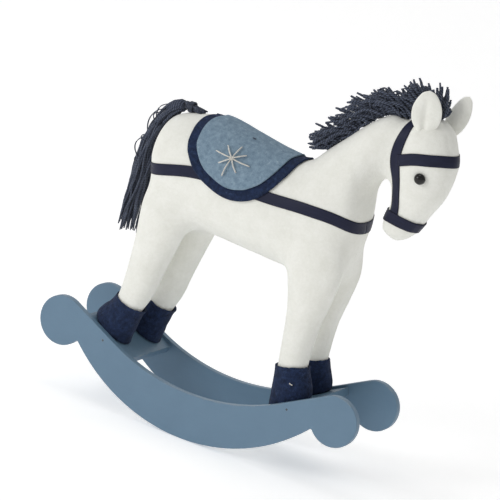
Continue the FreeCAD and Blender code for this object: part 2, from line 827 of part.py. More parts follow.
trunk_skin = trunk(0.0)
tail_x = -0.41 * size("body_length")
root = size("tail_root") / 2
pivot = Vector(tail_x, 0, top_at(trunk_skin, tail_x) + root + size("tail_gap"))
TAIL = [(-0.074, -0.020, 0.66), (-0.135, -0.090, 0.78), (-0.180, -0.197, 0.90), (-0.195, -0.320, 0.94),
        (-0.205, -0.541, 0.96), (-0.215, -0.770, 0.96), (-0.222, -1.0, 0.85)]


def tail_hank():
    """The swinging yarn: a ball at the pivot, then a loft down its fall."""
    line = [pivot] + [pivot + Vector(x, 0, z) * size("tail_length") for x, z, share in TAIL]
    wires = []
    for number, (x, z, share) in enumerate(TAIL, start=1):
        before, after = line[number - 1], line[min(number + 1, len(line) - 1)]
        way = (after - before) * (1 / (after - before).Length)
        half = share * size("tail_width") / 2
        wires.append(slice_wire(line[number], Vector(-way.z, 0, way.x), half, half))
    start = line[1] - line[0]
    neck = Part.makeCylinder(root * 0.95, start.Length, pivot, start)
    return Part.makeSphere(root, pivot).fuse([neck, lofted(wires)])


def stub_loft(x0, x1, fatter):
    """The short sewn down end, lying along the rump."""
    wires = []
    for x in (x0, x1):
        share = (x - pivot.x) / (size("tail_stub") + 2 * root)
        rest = top_at(trunk_skin, x) + root * (1 - 0.5 * share)
        centre = Vector(x, 0, pivot.z * (1 - share) + rest * share)
        half = root * (1 - 0.35 * share) + fatter
        wires.append(slice_wire(centre, Vector(0, 0, 1), half * 0.85, half))
    return lofted(wires).cut(trunk(gap))


binding_start = pivot.x + root + size("tail_gap")
binding_end = binding_start + size("tail_stub") / 4
stub_end = binding_end + size("tail_stub")
feature("tail", tail_hank())
feature("tail_stub", stub_loft(binding_start, stub_end, 0))
thread_core = stub_loft(binding_start - 1, stub_end, gap)
binding_thickness = 0.8
feature("tail_binding", stub_loft(binding_start, binding_end, gap + binding_thickness).cut(thread_core))
print("tail pivot", pivot)

# ---------------------------------------------------------------- checks and export

doc.recompute()
for thing in doc.Objects:
    if "Invalid" in thing.State or "Error" in thing.State:
        raise RuntimeError("failed: " + thing.Label)
for thing in sub_parts:
    if thing.Shape.isNull() or not thing.Shape.isValid():
        raise RuntimeError("no valid shape: " + thing.Label)

os.makedirs("parts", exist_ok=True)
for thing in sub_parts:
    thing.Shape.exportStep("parts/" + thing.Label + ".step")
    box = thing.Shape.BoundBox
    print(f"{thing.Label:24s} solids {len(thing.Shape.Solids)}  volume {thing.Shape.Volume:10.1f}  "
          f"x {box.XMin:7.1f} {box.XMax:7.1f}  y {box.YMin:6.1f} {box.YMax:6.1f}  "
          f"z {box.ZMin:6.1f} {box.ZMax:6.1f}")
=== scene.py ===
# %% [markdown]
# # A stuffed rocking horse
# The toy is a cloth horse filled with fibre, sewn from a few flat panels, standing on two painted
# boards cut as rockers.  The boards, nails, screws and dowels are hard pieces and come finished from
# the drawing; everything soft is made here, around them, in the same place and at the same size.

# %% The fixed frame
import json
import math

import bpy
import numpy as np
from mathutils import Matrix, Vector

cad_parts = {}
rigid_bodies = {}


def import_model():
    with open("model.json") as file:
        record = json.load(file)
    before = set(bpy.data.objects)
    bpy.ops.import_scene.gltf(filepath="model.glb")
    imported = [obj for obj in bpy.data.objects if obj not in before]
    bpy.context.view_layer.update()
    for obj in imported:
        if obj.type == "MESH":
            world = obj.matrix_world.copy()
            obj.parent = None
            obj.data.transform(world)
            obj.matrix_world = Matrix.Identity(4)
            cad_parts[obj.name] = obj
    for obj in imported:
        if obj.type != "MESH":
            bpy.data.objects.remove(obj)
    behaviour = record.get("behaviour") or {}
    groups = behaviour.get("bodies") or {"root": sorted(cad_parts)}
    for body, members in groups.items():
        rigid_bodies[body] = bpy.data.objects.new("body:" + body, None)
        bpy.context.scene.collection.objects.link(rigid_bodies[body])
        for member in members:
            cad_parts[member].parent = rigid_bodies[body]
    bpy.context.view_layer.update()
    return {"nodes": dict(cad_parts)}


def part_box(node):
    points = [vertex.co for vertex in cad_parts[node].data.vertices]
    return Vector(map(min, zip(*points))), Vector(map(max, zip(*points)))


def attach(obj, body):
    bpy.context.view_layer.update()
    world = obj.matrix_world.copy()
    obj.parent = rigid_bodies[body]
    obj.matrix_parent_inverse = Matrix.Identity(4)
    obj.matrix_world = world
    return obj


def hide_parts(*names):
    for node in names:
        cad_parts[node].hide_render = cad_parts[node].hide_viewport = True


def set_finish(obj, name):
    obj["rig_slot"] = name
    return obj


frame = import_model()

# %% [markdown]
# All sizes below are in millimetres, as on a sewing pattern, and are turned into metres where a mesh
# is made.  +X runs to the nose, +Y to the horse's left, +Z up, from the point where the rockers touch
# the floor.

# %% Units and small helpers
MM = 0.001
rng = np.random.default_rng(7)


def smoothstep(low, high, value):
    """0 below low, 1 above high, and 3t^2 - 2t^3 between them."""
    t = np.clip((value - low) / (high - low), 0.0, 1.0)
    return t * t * (3.0 - 2.0 * t)


def spline(knots, values, at):
    """A smooth curve through values at knots: cubic Hermite pieces whose slope at each knot is the
    mean of its two chords' slopes, weighted towards the shorter one."""
    knots, values, at = np.asarray(knots, float), np.asarray(values, float), np.asarray(at, float)
    steps = np.diff(knots)
    chords = np.diff(values, axis=0) / steps.reshape((-1,) + (1,) * (values.ndim - 1))
    slopes = np.empty_like(values)
    slopes[0], slopes[-1] = chords[0], chords[-1]
    weight = (steps[:-1] / (steps[:-1] + steps[1:])).reshape((-1,) + (1,) * (values.ndim - 1))
    slopes[1:-1] = chords[:-1] * (1 - weight) + chords[1:] * weight
    piece = np.clip(np.searchsorted(knots, at, side="right") - 1, 0, len(knots) - 2)
    span = steps[piece]
    t = (at - knots[piece]) / span
    shape = t.shape + (1,) * (values.ndim - 1)
    t, span = t.reshape(shape), span.reshape(shape)
    start, end = values[piece], values[piece + 1]
    out, into = slopes[piece] * span, slopes[piece + 1] * span
    return (start * (2 * t**3 - 3 * t**2 + 1) + out * (t**3 - 2 * t**2 + t)
            + end * (3 * t**2 - 2 * t**3) + into * (t**3 - t**2))


def make_mesh(name, points, faces, uv=None):
    """A mesh object at the origin from points (n x 3, millimetres) and a list of index arrays, each
    m x 3 or m x 4.  uv, when given, holds one pair for each point."""
    mesh = bpy.data.meshes.new(name)
    rows = [row for group in faces for row in np.asarray(group).tolist()]
    mesh.from_pydata((np.asarray(points).reshape(-1, 3) * MM).tolist(), [], rows)
    mesh.polygons.foreach_set("use_smooth", np.ones(len(mesh.polygons), bool))
    if uv is not None:
        corner = np.empty(len(mesh.loops), int)
        mesh.loops.foreach_get("vertex_index", corner)
        layer = mesh.uv_layers.new(name="UVMap")
        layer.data.foreach_set("uv", np.asarray(uv, float).reshape(-1, 2)[corner].ravel())
    mesh.update()
    thing = bpy.data.objects.new(name, mesh)
    bpy.context.scene.collection.objects.link(thing)
    return thing


def grid_quads(rows, columns, first=0, around=True):
    """Quads of a rows x columns grid of points numbered row by row, joined round if around."""
    row = np.arange(rows - 1)[:, None]
    column = np.arange(columns if around else columns - 1)[None, :]
    following = (column + 1) % columns
    corners = [row * columns + column, row * columns + following,
               (row + 1) * columns + following, (row + 1) * columns + column]
    return np.stack([c.ravel() for c in np.broadcast_arrays(*corners)], axis=1) + first


def fan(ring, pole, turned=False):
    """Triangles from a closed ring of point numbers to one pole point."""
    ring = np.asarray(ring)
    following = np.roll(ring, -1)
    pair = (following, ring) if turned else (ring, following)
    return np.stack([*pair, np.full(len(ring), pole)], axis=1)


def closed_tube(rings, start=None, end=None):
    """Points and faces of a closed skin over rings (rows x columns x 3), with a pole at each end."""
    rows, columns = rings.shape[:2]
    start = rings[0].mean(axis=0) if start is None else start
    end = rings[-1].mean(axis=0) if end is None else end
    points = np.concatenate([rings.reshape(-1, 3), [start], [end]])
    first_ring, last_ring = np.arange(columns), np.arange(columns) + (rows - 1) * columns
    faces = [grid_quads(rows, columns), fan(first_ring, len(points) - 2, turned=True),
             fan(last_ring, len(points) - 1)]
    return points, faces


def apply_modifiers(thing):
    """Replaces a piece's mesh by what its modifiers make of it."""
    bpy.context.view_layer.update()
    graph = bpy.context.evaluated_depsgraph_get()
    settled = bpy.data.meshes.new_from_object(thing.evaluated_get(graph), depsgraph=graph)
    thing.modifiers.clear()
    thing.data = settled


def points_of(thing):
    """A piece's points as an n x 3 array in millimetres."""
    flat = np.empty(len(thing.data.vertices) * 3)
    thing.data.vertices.foreach_get("co", flat)
    return flat.reshape(-1, 3) / MM


def set_points(thing, points):
    """Puts back a piece's points, given in millimetres."""
    thing.data.vertices.foreach_set("co", (points * MM).ravel())
    thing.data.update()


def normals_of(thing):
    """A piece's point normals as an n x 3 array."""
    flat = np.empty(len(thing.data.vertices) * 3)
    thing.data.vertices.foreach_get("normal", flat)
    return flat.reshape(-1, 3)


# %% [markdown]
# ## Camera and light
# The camera looks a little down on the horse's right side and is turned about its own axis, so the
# horse leans in the picture while it stands level on the floor.  A long lens keeps the far rocker
# nearly as large as the near one.

# %% Camera
AZIMUTH, ELEVATION, ROLL = math.radians(26.0), math.radians(14.588), math.radians(-12.408)
DISTANCE = 2640.0
AIM_RIGHT, AIM_UP = 41.23, 157.96


def place_camera():
    """Looks along the direction of the azimuth and elevation, turned by the roll, and stands back by
    the distance from the frame's origin, moved sideways and up in its own plane."""
    right = Vector((math.cos(AZIMUTH), math.sin(AZIMUTH), 0.0))
    ahead = Vector((-math.sin(AZIMUTH) * math.cos(ELEVATION), math.cos(AZIMUTH) * math.cos(ELEVATION),
                    -math.sin(ELEVATION)))
    up = right.cross(ahead)
    turned_right = right * math.cos(ROLL) - up * math.sin(ROLL)
    turned_up = right * math.sin(ROLL) + up * math.cos(ROLL)
    data = bpy.data.cameras.new("camera")
    data.sensor_width = 36.0
    data.lens = 216.0
    data.clip_start, data.clip_end = 0.1, 30.0
    camera = bpy.data.objects.new("camera", data)
    place = (turned_right * AIM_RIGHT + turned_up * AIM_UP - ahead * DISTANCE) * MM
    camera.matrix_world = Matrix.Translation(place) @ Matrix(
        (turned_right, turned_up, -ahead)).transposed().to_4x4()
    bpy.context.scene.collection.objects.link(camera)
    bpy.context.scene.camera = camera


place_camera()

# %% [markdown]
# Soft studio light: a wide lamp low on the left of the picture, a weak one overhead, a weaker one from
# the right, and a dim white room all round.  The floor sweeps up behind as one curved sheet, so no
# edge shows.

# %% Floor, backdrop and lamps
def sweep_profile(across):
    """Height of the backdrop sheet at a distance behind the object: flat, then a quarter circle of
    1.2 m radius, then straight up."""
    start, radius = 1400.0, 1200.0
    inside = np.clip(across - start, 0.0, radius)
    return radius - np.sqrt(radius**2 - inside**2) + np.maximum(across - start - radius, 0.0)


def make_floor():
    """A flat sheet that curves up behind, carried sideways, turned to face the camera."""
    along = np.concatenate([np.linspace(-3000, 1400, 12), np.linspace(1450, 2599, 40)])
    height = sweep_profile(along)
    along, height = np.append(along, 2600.0), np.append(height, 4000.0)
    side = np.linspace(-5000, 5000, 3)
    turn = np.array([-math.sin(AZIMUTH), math.cos(AZIMUTH)])
    right = np.array([math.cos(AZIMUTH), math.sin(AZIMUTH)])
    points = np.zeros((len(along), len(side), 3))
    points[:, :, :2] = along[:, None, None] * turn + side[None, :, None] * right
    points[:, :, 2] = height[:, None] - 0.05
    floor = make_mesh("studio_floor", points, [grid_quads(len(along), len(side), around=False)[:, ::-1]])
    return floor


floor = make_floor()


def make_lamp(name, place, aim, size, watts, colour=(1.0, 1.0, 1.0)):
    """An area lamp of that size in metres, pointed from place to aim."""
    data = bpy.data.lights.new(name, "AREA")
    data.shape = "DISK"
    data.size = size
    data.energy = watts
    data.color = colour
    lamp = bpy.data.objects.new(name, data)
    way = Vector(aim) - Vector(place)
    lamp.matrix_world = Matrix.Translation(place) @ way.to_track_quat("-Z", "Y").to_matrix().to_4x4()
    bpy.context.scene.collection.objects.link(lamp)


MIDDLE = (0.0, 0.0, 0.18)
make_lamp("lamp_key", (-1.30, -1.90, 1.20), MIDDLE, 1.2, 19.5)
make_lamp("lamp_top", (-0.30, -0.20, 2.40), MIDDLE, 1.2, 6.5)
make_lamp("lamp_fill", (1.60, -1.60, 0.90), MIDDLE, 1.6, 1.8)


def make_room(strength):
    """An even white surround."""
    world = bpy.data.worlds.new("room")
    bpy.context.scene.world = world
    world.use_nodes = True
    background = world.node_tree.nodes["Background"]
    background.inputs["Color"].default_value = (1.0, 1.0, 1.0, 1.0)
    background.inputs["Strength"].default_value = strength


make_room(0.42)
bpy.context.scene.view_settings.view_transform = "Standard"

# %% [markdown]
# ## The cloth body
# The horse is two side panels, a strip between the legs and a strip down the face, sewn inside out,
# turned and stuffed hard.  The form is built from the same slices as the pattern: trunk and neck, head
# and four legs are each a soft tube of ellipses.  They are melted into one skin by a voxel remesh, the
# joins are smoothed as stuffing rounds them, and a short cloth simulation blows the panels out between
# their seams.  A remesh is used because six crossing tubes have no common grid of points.

# %% Sizes of the pattern
LONG, DEEP, HALF_WIDE = 206.0, 108.0, 37.5
LEG, ANKLE, SPREAD = 110.0, 13.5, 21.0
BOARD_Z, BOARD_X, BOARD_SLOPE = 56.4, 80.5, 0.505

BELLY = 166.4

# trunk slices from rump to chest: upper point, lower point, half width, as shares of the body
TRUNK = np.array([
    [-0.472, 0.76, -0.474, 0.46, 0.40],
    [-0.462, 0.84, -0.464, 0.33, 0.63],
    [-0.428, 0.92, -0.432, 0.19, 0.83],
    [-0.340, 0.98, -0.340, 0.08, 0.95],
    [-0.195, 1.00, -0.195, 0.055, 1.00],
    [-0.050, 0.95, -0.050, 0.035, 1.00],
    [0.097, 0.90, 0.097, 0.015, 0.99],
    [0.218, 0.90, 0.233, 0.00, 0.96],
])
# neck slices: crest as shares of 75 forwards and 64 upwards from the withers, throat as the trunk's
NECK = np.array([
    [0.227, 0.27, 0.455, 0.02, 0.92],
    [0.440, 0.52, 0.535, 0.36, 0.80],
    [0.627, 0.74, 0.523, 0.70, 0.68],
    [0.813, 0.91, 0.558, 0.91, 0.58],
    [1.000, 1.00, 0.620, 1.02, 0.50],
])
# head slices from muzzle to poll: up, forward, half depth, half width, as shares of the head
HEAD = np.array([
    [0.010, -0.150, 0.15, 0.15], [0.065, -0.165, 0.46, 0.54], [0.155, -0.115, 0.60, 0.66],
    [0.275, -0.030, 0.66, 0.74], [0.380, 0.005, 0.82, 0.84], [0.535, 0.015, 0.97, 0.95],
    [0.705, 0.005, 1.02, 1.00], [0.835, -0.010, 0.86, 0.94], [0.920, 0.000, 0.68, 0.76],
    [0.985, -0.010, 0.35, 0.38],
])
# leg slices: height share, half length and half width as shares of the ankle's, forward place
FRONT_LEG = np.array([
    [0.08, 1.04, 0.96, 1.0], [0.40, 1.10, 1.02, 0.0], [0.66, 1.24, 1.12, 0.5],
    [0.86, 1.56, 1.20, 1.5], [1.08, 2.05, 1.18, 0.0], [1.36, 2.25, 1.00, -4.0],
])
REAR_LEG = np.array([
    [0.12, 1.02, 0.96, -7.0], [0.25, 1.06, 0.98, -3.5], [0.40, 1.22, 1.02, 2.5],
    [0.62, 1.36, 1.12, 7.0], [0.88, 1.62, 1.20, 12.0], [1.14, 2.00, 1.12, 16.0],
    [1.38, 2.05, 0.80, 17.0],
])
# each leg: +1 front or -1 rear, -1 right or +1 left, how far its ankle stands from mid length
LEGS = {"front_right": (1, -1, 80.5), "front_left": (1, 1, 78.5),
        "rear_right": (-1, -1, -84.5), "rear_left": (-1, 1, -77.5)}


def board_top(x):
    """Height of the sloping foot board's upper face at a distance from mid length."""
    return BOARD_Z + (abs(x) - BOARD_X) * BOARD_SLOPE


# %% Slices of the trunk, neck, head and legs
def trunk_slices():
    """Upper points, lower points (x, z) and half widths of the trunk and neck slices."""
    top = np.stack([TRUNK[:, 0] * LONG, BELLY + TRUNK[:, 1] * DEEP], axis=1)
    low = np.stack([TRUNK[:, 2] * LONG, BELLY + TRUNK[:, 3] * DEEP], axis=1)
    crest = top[-1] + NECK[:, :2] * (75.0, 64.0)
    throat = np.stack([NECK[:, 2] * LONG, BELLY + NECK[:, 3] * DEEP], axis=1)
    wide = np.concatenate([TRUNK[:, 4], NECK[:, 4]]) * HALF_WIDE
    return np.concatenate([top, crest]), np.concatenate([low, throat]), wide


TOPS, LOWS, WIDES = trunk_slices()
POLL = TOPS[-1]
HEAD_FORWARD, HEAD_RISE, HEAD_HIGH = 28.0, 6.0, 116.0
HEAD_BASE = np.array([POLL[0] + HEAD_FORWARD, POLL[1] + HEAD_RISE - HEAD_HIGH])


def ellipse_rings(middle, way, half_long, half_wide, columns):
    """Rings of points: middle + way half_long cos(a) in the side view, half_wide sin(a) across."""
    angle = np.linspace(0.0, 2 * math.pi, columns, endpoint=False)
    rings = np.zeros((len(middle), columns, 3))
    rings[:, :, 0] = middle[:, :1] + (way[:, 0] * half_long)[:, None] * np.cos(angle)
    rings[:, :, 2] = middle[:, 1:] + (way[:, 1] * half_long)[:, None] * np.cos(angle)
    rings[:, :, 1] = half_wide[:, None] * np.sin(angle)
    return rings


def trunk_rings(count=90, columns=48):
    """Trunk and neck as rings: the slices' points and widths, each a smooth curve of the slice's
    number."""
    knots = np.arange(len(TOPS), dtype=float)
    at = np.linspace(0.0, knots[-1], count)
    top, low, wide = spline(knots, TOPS, at), spline(knots, LOWS, at), spline(knots, WIDES, at)
    span = top - low
    half = np.linalg.norm(span, axis=1) / 2
    return ellipse_rings((top + low) / 2, span / (2 * half[:, None]), half, wide, columns)


def head_rings(count=60, columns=40):
    """The head as level rings from muzzle to poll."""
    at = np.linspace(HEAD[0, 0], HEAD[-1, 0], count)
    rows = spline(HEAD[:, 0], HEAD, at)
    middle = HEAD_BASE + np.stack([rows[:, 1] * 60.0, rows[:, 0] * 116.0], axis=1)
    ahead = np.tile([1.0, 0.0], (count, 1))
    return ellipse_rings(middle, ahead, rows[:, 2] * 30.0, rows[:, 3] * 23.0, columns)


def leg_rings(end, side, reach, count=40, columns=32):
    """One leg as level rings from inside its boot up into the trunk."""
    table = FRONT_LEG if end > 0 else REAR_LEG
    at = np.linspace(table[0, 0], table[-1, 0], count)
    rows = spline(table[:, 0], table, at)
    middle = np.stack([reach + rows[:, 3], board_top(reach) + rows[:, 0] * LEG], axis=1)
    ahead = np.tile([1.0, 0.0], (count, 1))
    rings = ellipse_rings(middle, ahead, rows[:, 1] * ANKLE, rows[:, 2] * ANKLE, columns)
    rings[:, :, 1] += side * SPREAD
    return rings


def outward(points, faces):
    """The faces, turned if need be so that the closed skin's volume, the sum of its faces' signed
    cones from the origin, is positive."""
    points = np.asarray(points)
    volume = sum(np.einsum("ij,ij->", points[f[:, 0]], np.cross(points[f[:, 1]], points[f[:, 2]]))
                 for f in faces)
    quads = sum(np.einsum("ij,ij->", points[f[:, 0]], np.cross(points[f[:, 2]], points[f[:, 3]]))
                for f in faces if f.shape[1] == 4)
    return faces if volume + quads > 0 else [f[:, ::-1] for f in faces]


def joined_tubes(tubes):
    """Several closed tubes as one list of points and faces."""
    points, faces, first = [], [], 0
    for rings in tubes:
        some, rows = closed_tube(rings)
        points.append(some)
        faces += [row + first for row in outward(some, rows)]
        first += len(some)
    return np.concatenate(points), faces


body_tubes = [trunk_rings(), head_rings()] + [leg_rings(*where) for where in LEGS.values()]
skin = make_mesh("body_skin", *joined_tubes(body_tubes))
print("body tubes", len(body_tubes), "points", len(skin.data.vertices))

# %% [markdown]
# The remesh gives even small faces all over.  How hard a point is smoothed depends on how near it is
# to two tubes at once: that is where one part runs into another.

# %% One skin, with rounded joins
VOXEL = 3.0


def remesh(thing, voxel):
    """Voxel remesh to that edge length in millimetres, applied."""
    step = thing.modifiers.new("remesh", "REMESH")
    step.mode = "VOXEL"
    step.voxel_size = voxel * MM
    step.use_smooth_shade = True
    apply_modifiers(thing)


def neighbours_mean(points, edges, counts):
    """For every point the mean of the points it shares an edge with."""
    total = np.zeros_like(points)
    for axis in range(3):
        total[:, axis] = (np.bincount(edges[:, 0], points[edges[:, 1], axis], len(points))
                          + np.bincount(edges[:, 1], points[edges[:, 0], axis], len(points)))
    return total / counts[:, None]


def edges_of(thing):
    """A piece's edges as an m x 2 array, and how many each point has."""
    edges = np.empty(len(thing.data.edges) * 2, int)
    thing.data.edges.foreach_get("vertices", edges)
    edges = edges.reshape(-1, 2)
    return edges, np.bincount(edges.ravel(), minlength=len(thing.data.vertices)).astype(float)


def smooth_points(thing, weight, rounds):
    """Moves each point towards its neighbours' mean by its weight, again and again."""
    edges, counts = edges_of(thing)
    points = points_of(thing)
    for _ in range(rounds):
        points += weight[:, None] * (neighbours_mean(points, edges, counts) - points)
    set_points(thing, points)


def tube_distance(points, rings):
    """How far each point lies outside a tube of level or leaning ellipses: nearest of the rings'
    centres by place along the tube, then the ellipse's own radius in the point's direction."""
    centre = rings.mean(axis=1)
    half = rings.shape[1] // 2
    long_way = (rings[:, 0] - rings[:, half]) / 2
    half_long = np.linalg.norm(long_way, axis=1)
    half_wide = (rings[:, :, 1].max(axis=1) - rings[:, :, 1].min(axis=1)) / 2
    way = long_way / half_long[:, None]
    normal = np.stack([-way[:, 2], way[:, 1] * 0, way[:, 0]], axis=1)
    offset = points[:, None, :] - centre[None, :, :]
    off_plane = np.abs(np.einsum("pri,ri->pr", offset, normal))
    reach = np.linalg.norm(offset, axis=2)
    ring = np.argmin(off_plane + 0.2 * reach, axis=1)
    rows = np.arange(len(points))
    offset = offset[rows, ring]
    along = np.einsum("pi,pi->p", offset, way[ring])
    across = offset[:, 1]
    share = np.sqrt((along / half_long[ring])**2 + (across / half_wide[ring])**2) + 1e-6
    flat = np.sqrt(along**2 + across**2)
    return np.hypot(flat - flat / share, off_plane[rows, ring]) * np.sign(share - 1.0)


def join_weight(points, tubes, width):
    """Near 1 where a point is close to the surfaces of two tubes at once, 0 elsewhere."""
    near = np.stack([np.exp(-(tube_distance(points, rings) / width)**2) for rings in tubes])
    near.sort(axis=0)
    return near[-2]


remesh(skin, VOXEL)
smooth_points(skin, 0.75 * join_weight(points_of(skin), body_tubes, 9.0), 60)
smooth_points(skin, np.full(len(skin.data.vertices), 0.5), 4)
print("body skin", len(skin.data.vertices), "points after the remesh")

# %% [markdown]
# The seams are where the panels were sewn: down the middle of the back, chest and belly line, beside
# the strip on the face, and along the strip between the legs.  In the simulation the seams stay put
# and the cloth between them is blown out by the stuffing, so each panel gets its own soft crown.

# %% Seams and stuffing
FACE_SEAM, BELLY_SEAM = 9.0, 19.0


def seam_distance(points):
    """How far each point is from the nearest seam, in millimetres: seams are the planes y = 0 and
    |y| = a constant, each only where that seam runs."""
    x, y, z = points.T
    side = np.abs(y)
    far = 1000.0
    on_face = (x > HEAD_BASE[0] - 3.0) & (z > HEAD_BASE[1])
    on_belly = (z < BELLY + 10.0) & (x < HEAD_BASE[0] - 30.0)
    middle = np.where(on_face | on_belly, far, side)
    face = np.where(on_face, np.abs(side - FACE_SEAM * (0.55 + 0.45 * smoothstep(215, 290, z))), far)
    belly = np.where(on_belly, np.abs(side - BELLY_SEAM), far)
    return np.minimum(np.minimum(middle, face), belly)


def stuff(thing, held, pressure=4.0, cap=2.0, frames=20):
    """Blows a closed cloth skin up: Blender's cloth with air pressure and no gravity, the held
    points fixed, and no point allowed to move further than the cap."""
    before = points_of(thing)
    group = thing.vertex_groups.new(name="held")
    group.add(np.flatnonzero(held).tolist(), 1.0, "REPLACE")
    cloth = thing.modifiers.new("stuffing", "CLOTH")
    cloth.settings.vertex_group_mass = "held"
    cloth.settings.use_pressure = True
    cloth.settings.uniform_pressure_force = pressure
    cloth.settings.effector_weights.gravity = 0.0
    cloth.settings.quality = 5
    cloth.settings.mass = 0.15
    cloth.settings.tension_stiffness = 12.0
    cloth.settings.compression_stiffness = 12.0
    cloth.point_cache.frame_start, cloth.point_cache.frame_end = 1, frames
    for frame_number in range(1, frames + 1):
        bpy.context.scene.frame_set(frame_number)
    graph = bpy.context.evaluated_depsgraph_get()
    blown = bpy.data.meshes.new_from_object(thing.evaluated_get(graph), depsgraph=graph)
    after = np.empty(len(blown.vertices) * 3)
    blown.vertices.foreach_get("co", after)
    move = after.reshape(-1, 3) / MM - before
    length = np.linalg.norm(move, axis=1, keepdims=True) + 1e-9
    thing.modifiers.clear()
    thing.vertex_groups.clear()
    bpy.context.scene.frame_set(1)
    set_points(thing, before + move * np.minimum(1.0, cap / length))
    print(thing.name, "stuffed: mean move", round(float(length.mean()), 2), "mm, capped at", cap)


def subdivide(thing, levels=1):
    """Catmull-Clark subdivision, applied."""
    step = thing.modifiers.new("subdivide", "SUBSURF")
    step.levels = step.render_levels = levels
    apply_modifiers(thing)


set_points(skin, points_of(skin) - 1.0 * normals_of(skin))
stuff(skin, seam_distance(points_of(skin)) < 1.6, cap=1.6)
smooth_points(skin, np.full(len(skin.data.vertices), 0.4), 2)
subdivide(skin)


def sew_seams(thing, depth=0.55, width=1.5, stitch=3.2):
    """Pulls the skin in along its seams: depth times a bell curve of the distance to the seam, a
    little deeper at every stitch."""
    points = points_of(thing)
    run = points[:, 0] * 0.8 + points[:, 2] * 0.6
    uneven = 0.8 + 0.2 * np.cos(run * 2 * math.pi / stitch)
    pull = depth * np.exp(-(seam_distance(points) / width)**2) * uneven
    set_points(thing, points - pull[:, None] * normals_of(thing))


def eye_sockets(thing, depth=1.3, width=6.0):
    """Draws the cheeks in round the beads: depth times a bell curve of the distance to each."""
    points = points_of(thing)
    move = np.zeros(len(points))
    for name in ("eye_right", "eye_left"):
        low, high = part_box(name)
        middle = np.array((low + high) / 2) / MM
        move += depth * np.exp(-(np.linalg.norm(points - middle, axis=1) / width)**2)
    set_points(thing, points - move[:, None] * normals_of(thing))


sew_seams(skin)
eye_sockets(skin)
skin.data.polygons.foreach_set("use_smooth", np.ones(len(skin.data.polygons), bool))
print("body skin", len(skin.data.vertices), "points,", len(skin.data.polygons), "faces")

# %% The skin stands for the cloth panels and what is inside them
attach(skin, "horse")
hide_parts("cover_right", "cover_left", "belly_gusset", "head_gusset", "stuffing")
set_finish(skin, "white_cloth")


def drop_on(points, target, off):
    """The points moved straight to the nearest place on another piece's surface and then off it by a
    distance, with Blender's shrinkwrap."""
    shape = points.shape
    thing = make_mesh("dropped", points, [])
    step = thing.modifiers.new("lay", "SHRINKWRAP")
    step.target = target
    step.wrap_method = "NEAREST_SURFACEPOINT"
    step.wrap_mode = "ABOVE_SURFACE"
    step.offset = off * MM
    apply_modifiers(thing)
    laid = points_of(thing).reshape(shape)
    bpy.data.objects.remove(thing)
    return laid


def even_out(grid, rounds, closed=False, share=0.5):
    """Smooths a grid of points along its first direction: each row moves towards the mean of the
    rows beside it, the ends stay unless the grid is closed."""
    grid = grid.copy()
    for _ in range(rounds):
        mean = (np.roll(grid, 1, axis=0) + np.roll(grid, -1, axis=0)) / 2
        step = share * (mean - grid)
        if not closed:
            step[0] = step[-1] = 0.0
        grid += step
    return grid


def thicken(thing, thickness, outwards=1.0):
    """Gives a sheet its thickness with Solidify, kept live so it can be seen in the modifier list."""
    wall = thing.modifiers.new("thickness", "SOLIDIFY")
    wall.thickness = thickness * MM
    wall.offset = outwards
    wall.use_even_offset = False
    return wall


def area_of(thing):
    """The area of a piece's mesh before its modifiers, in square metres."""
    sizes = np.empty(len(thing.data.polygons))
    thing.data.polygons.foreach_get("area", sizes)
    return float(sizes.sum())

# %% [markdown]
# ## Ribbons
# The girth, cheek, brow and nose ribbons are satin ribbon, 10 mm wide and half a millimetre thick with
# a woven edge.  Each starts as an even strip round a simple oval a little outside the body and is
# then laid on the skin, so it follows every soft form without stretching.

# %% A ribbon laid round the horse
RIBBON = 10.0

def ribbon_strip(line, closed):
    """The line's direction at each point, ends included when it is open, and the places across a
    ribbon RIBBON wide at which its rows have their points."""
    across_count = 9
    after = np.roll(line, -1, axis=0) - np.roll(line, 1, axis=0)
    if not closed:
        after[0], after[-1] = line[1] - line[0], line[-1] - line[-2]
    along = after / np.linalg.norm(after, axis=1, keepdims=True)
    return along, np.linspace(-RIBBON / 2, RIBBON / 2, across_count)


def lay_ribbon(name, line, target, off, closed=False, smooth=6, narrow=1.0):
    """A ribbon whose middle follows the line: the line is laid on the target, its rows are set
    across it in the surface, then the whole strip is laid on again and eased along its length.  The
    length of the straight cut of ribbon that runs that far is printed."""
    laid = even_out(drop_on(line, target, off), smooth, closed)
    along, across = ribbon_strip(laid, closed)
    inside = drop_on(laid, target, -3.0)
    outside = drop_on(laid, target, 3.0)
    normal = outside - inside
    normal /= np.linalg.norm(normal, axis=1, keepdims=True) + 1e-9
    normal = even_out(normal, 12, closed)
    sideways = np.cross(along, normal)
    sideways /= np.linalg.norm(sideways, axis=1, keepdims=True)
    strip = laid[:, None, :] + across[None, :, None] * narrow * sideways[:, None, :]
    strip = even_out(drop_on(strip, target, off), smooth, closed, 0.4)
    length = np.concatenate([[0.0], np.cumsum(np.linalg.norm(np.diff(laid, axis=0), axis=1))])
    if closed:
        strip = np.concatenate([strip, strip[:1]])
        length = np.append(length, length[-1] + np.linalg.norm(laid[0] - laid[-1]))
    uv = np.stack(np.broadcast_arrays(across[None, :] / RIBBON + 0.5, length[:, None] / RIBBON), axis=2)
    thing = make_mesh(name, strip, [grid_quads(*strip.shape[:2], around=False)], uv)
    facing = np.array(thing.data.polygons[(len(strip) // 2) * 8 + 4].normal)
    if np.dot(facing, normal[len(laid) // 2]) < 0:
        thing.data.flip_normals()
    thicken(thing, 0.45)
    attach(thing, "horse")
    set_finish(thing, "navy_ribbon")
    cut = round(float(length[-1]) * MM, 4)
    print(name, "cut length", cut, "m, area as laid", round(area_of(thing) * 1e4, 2), "cm2")
    return thing


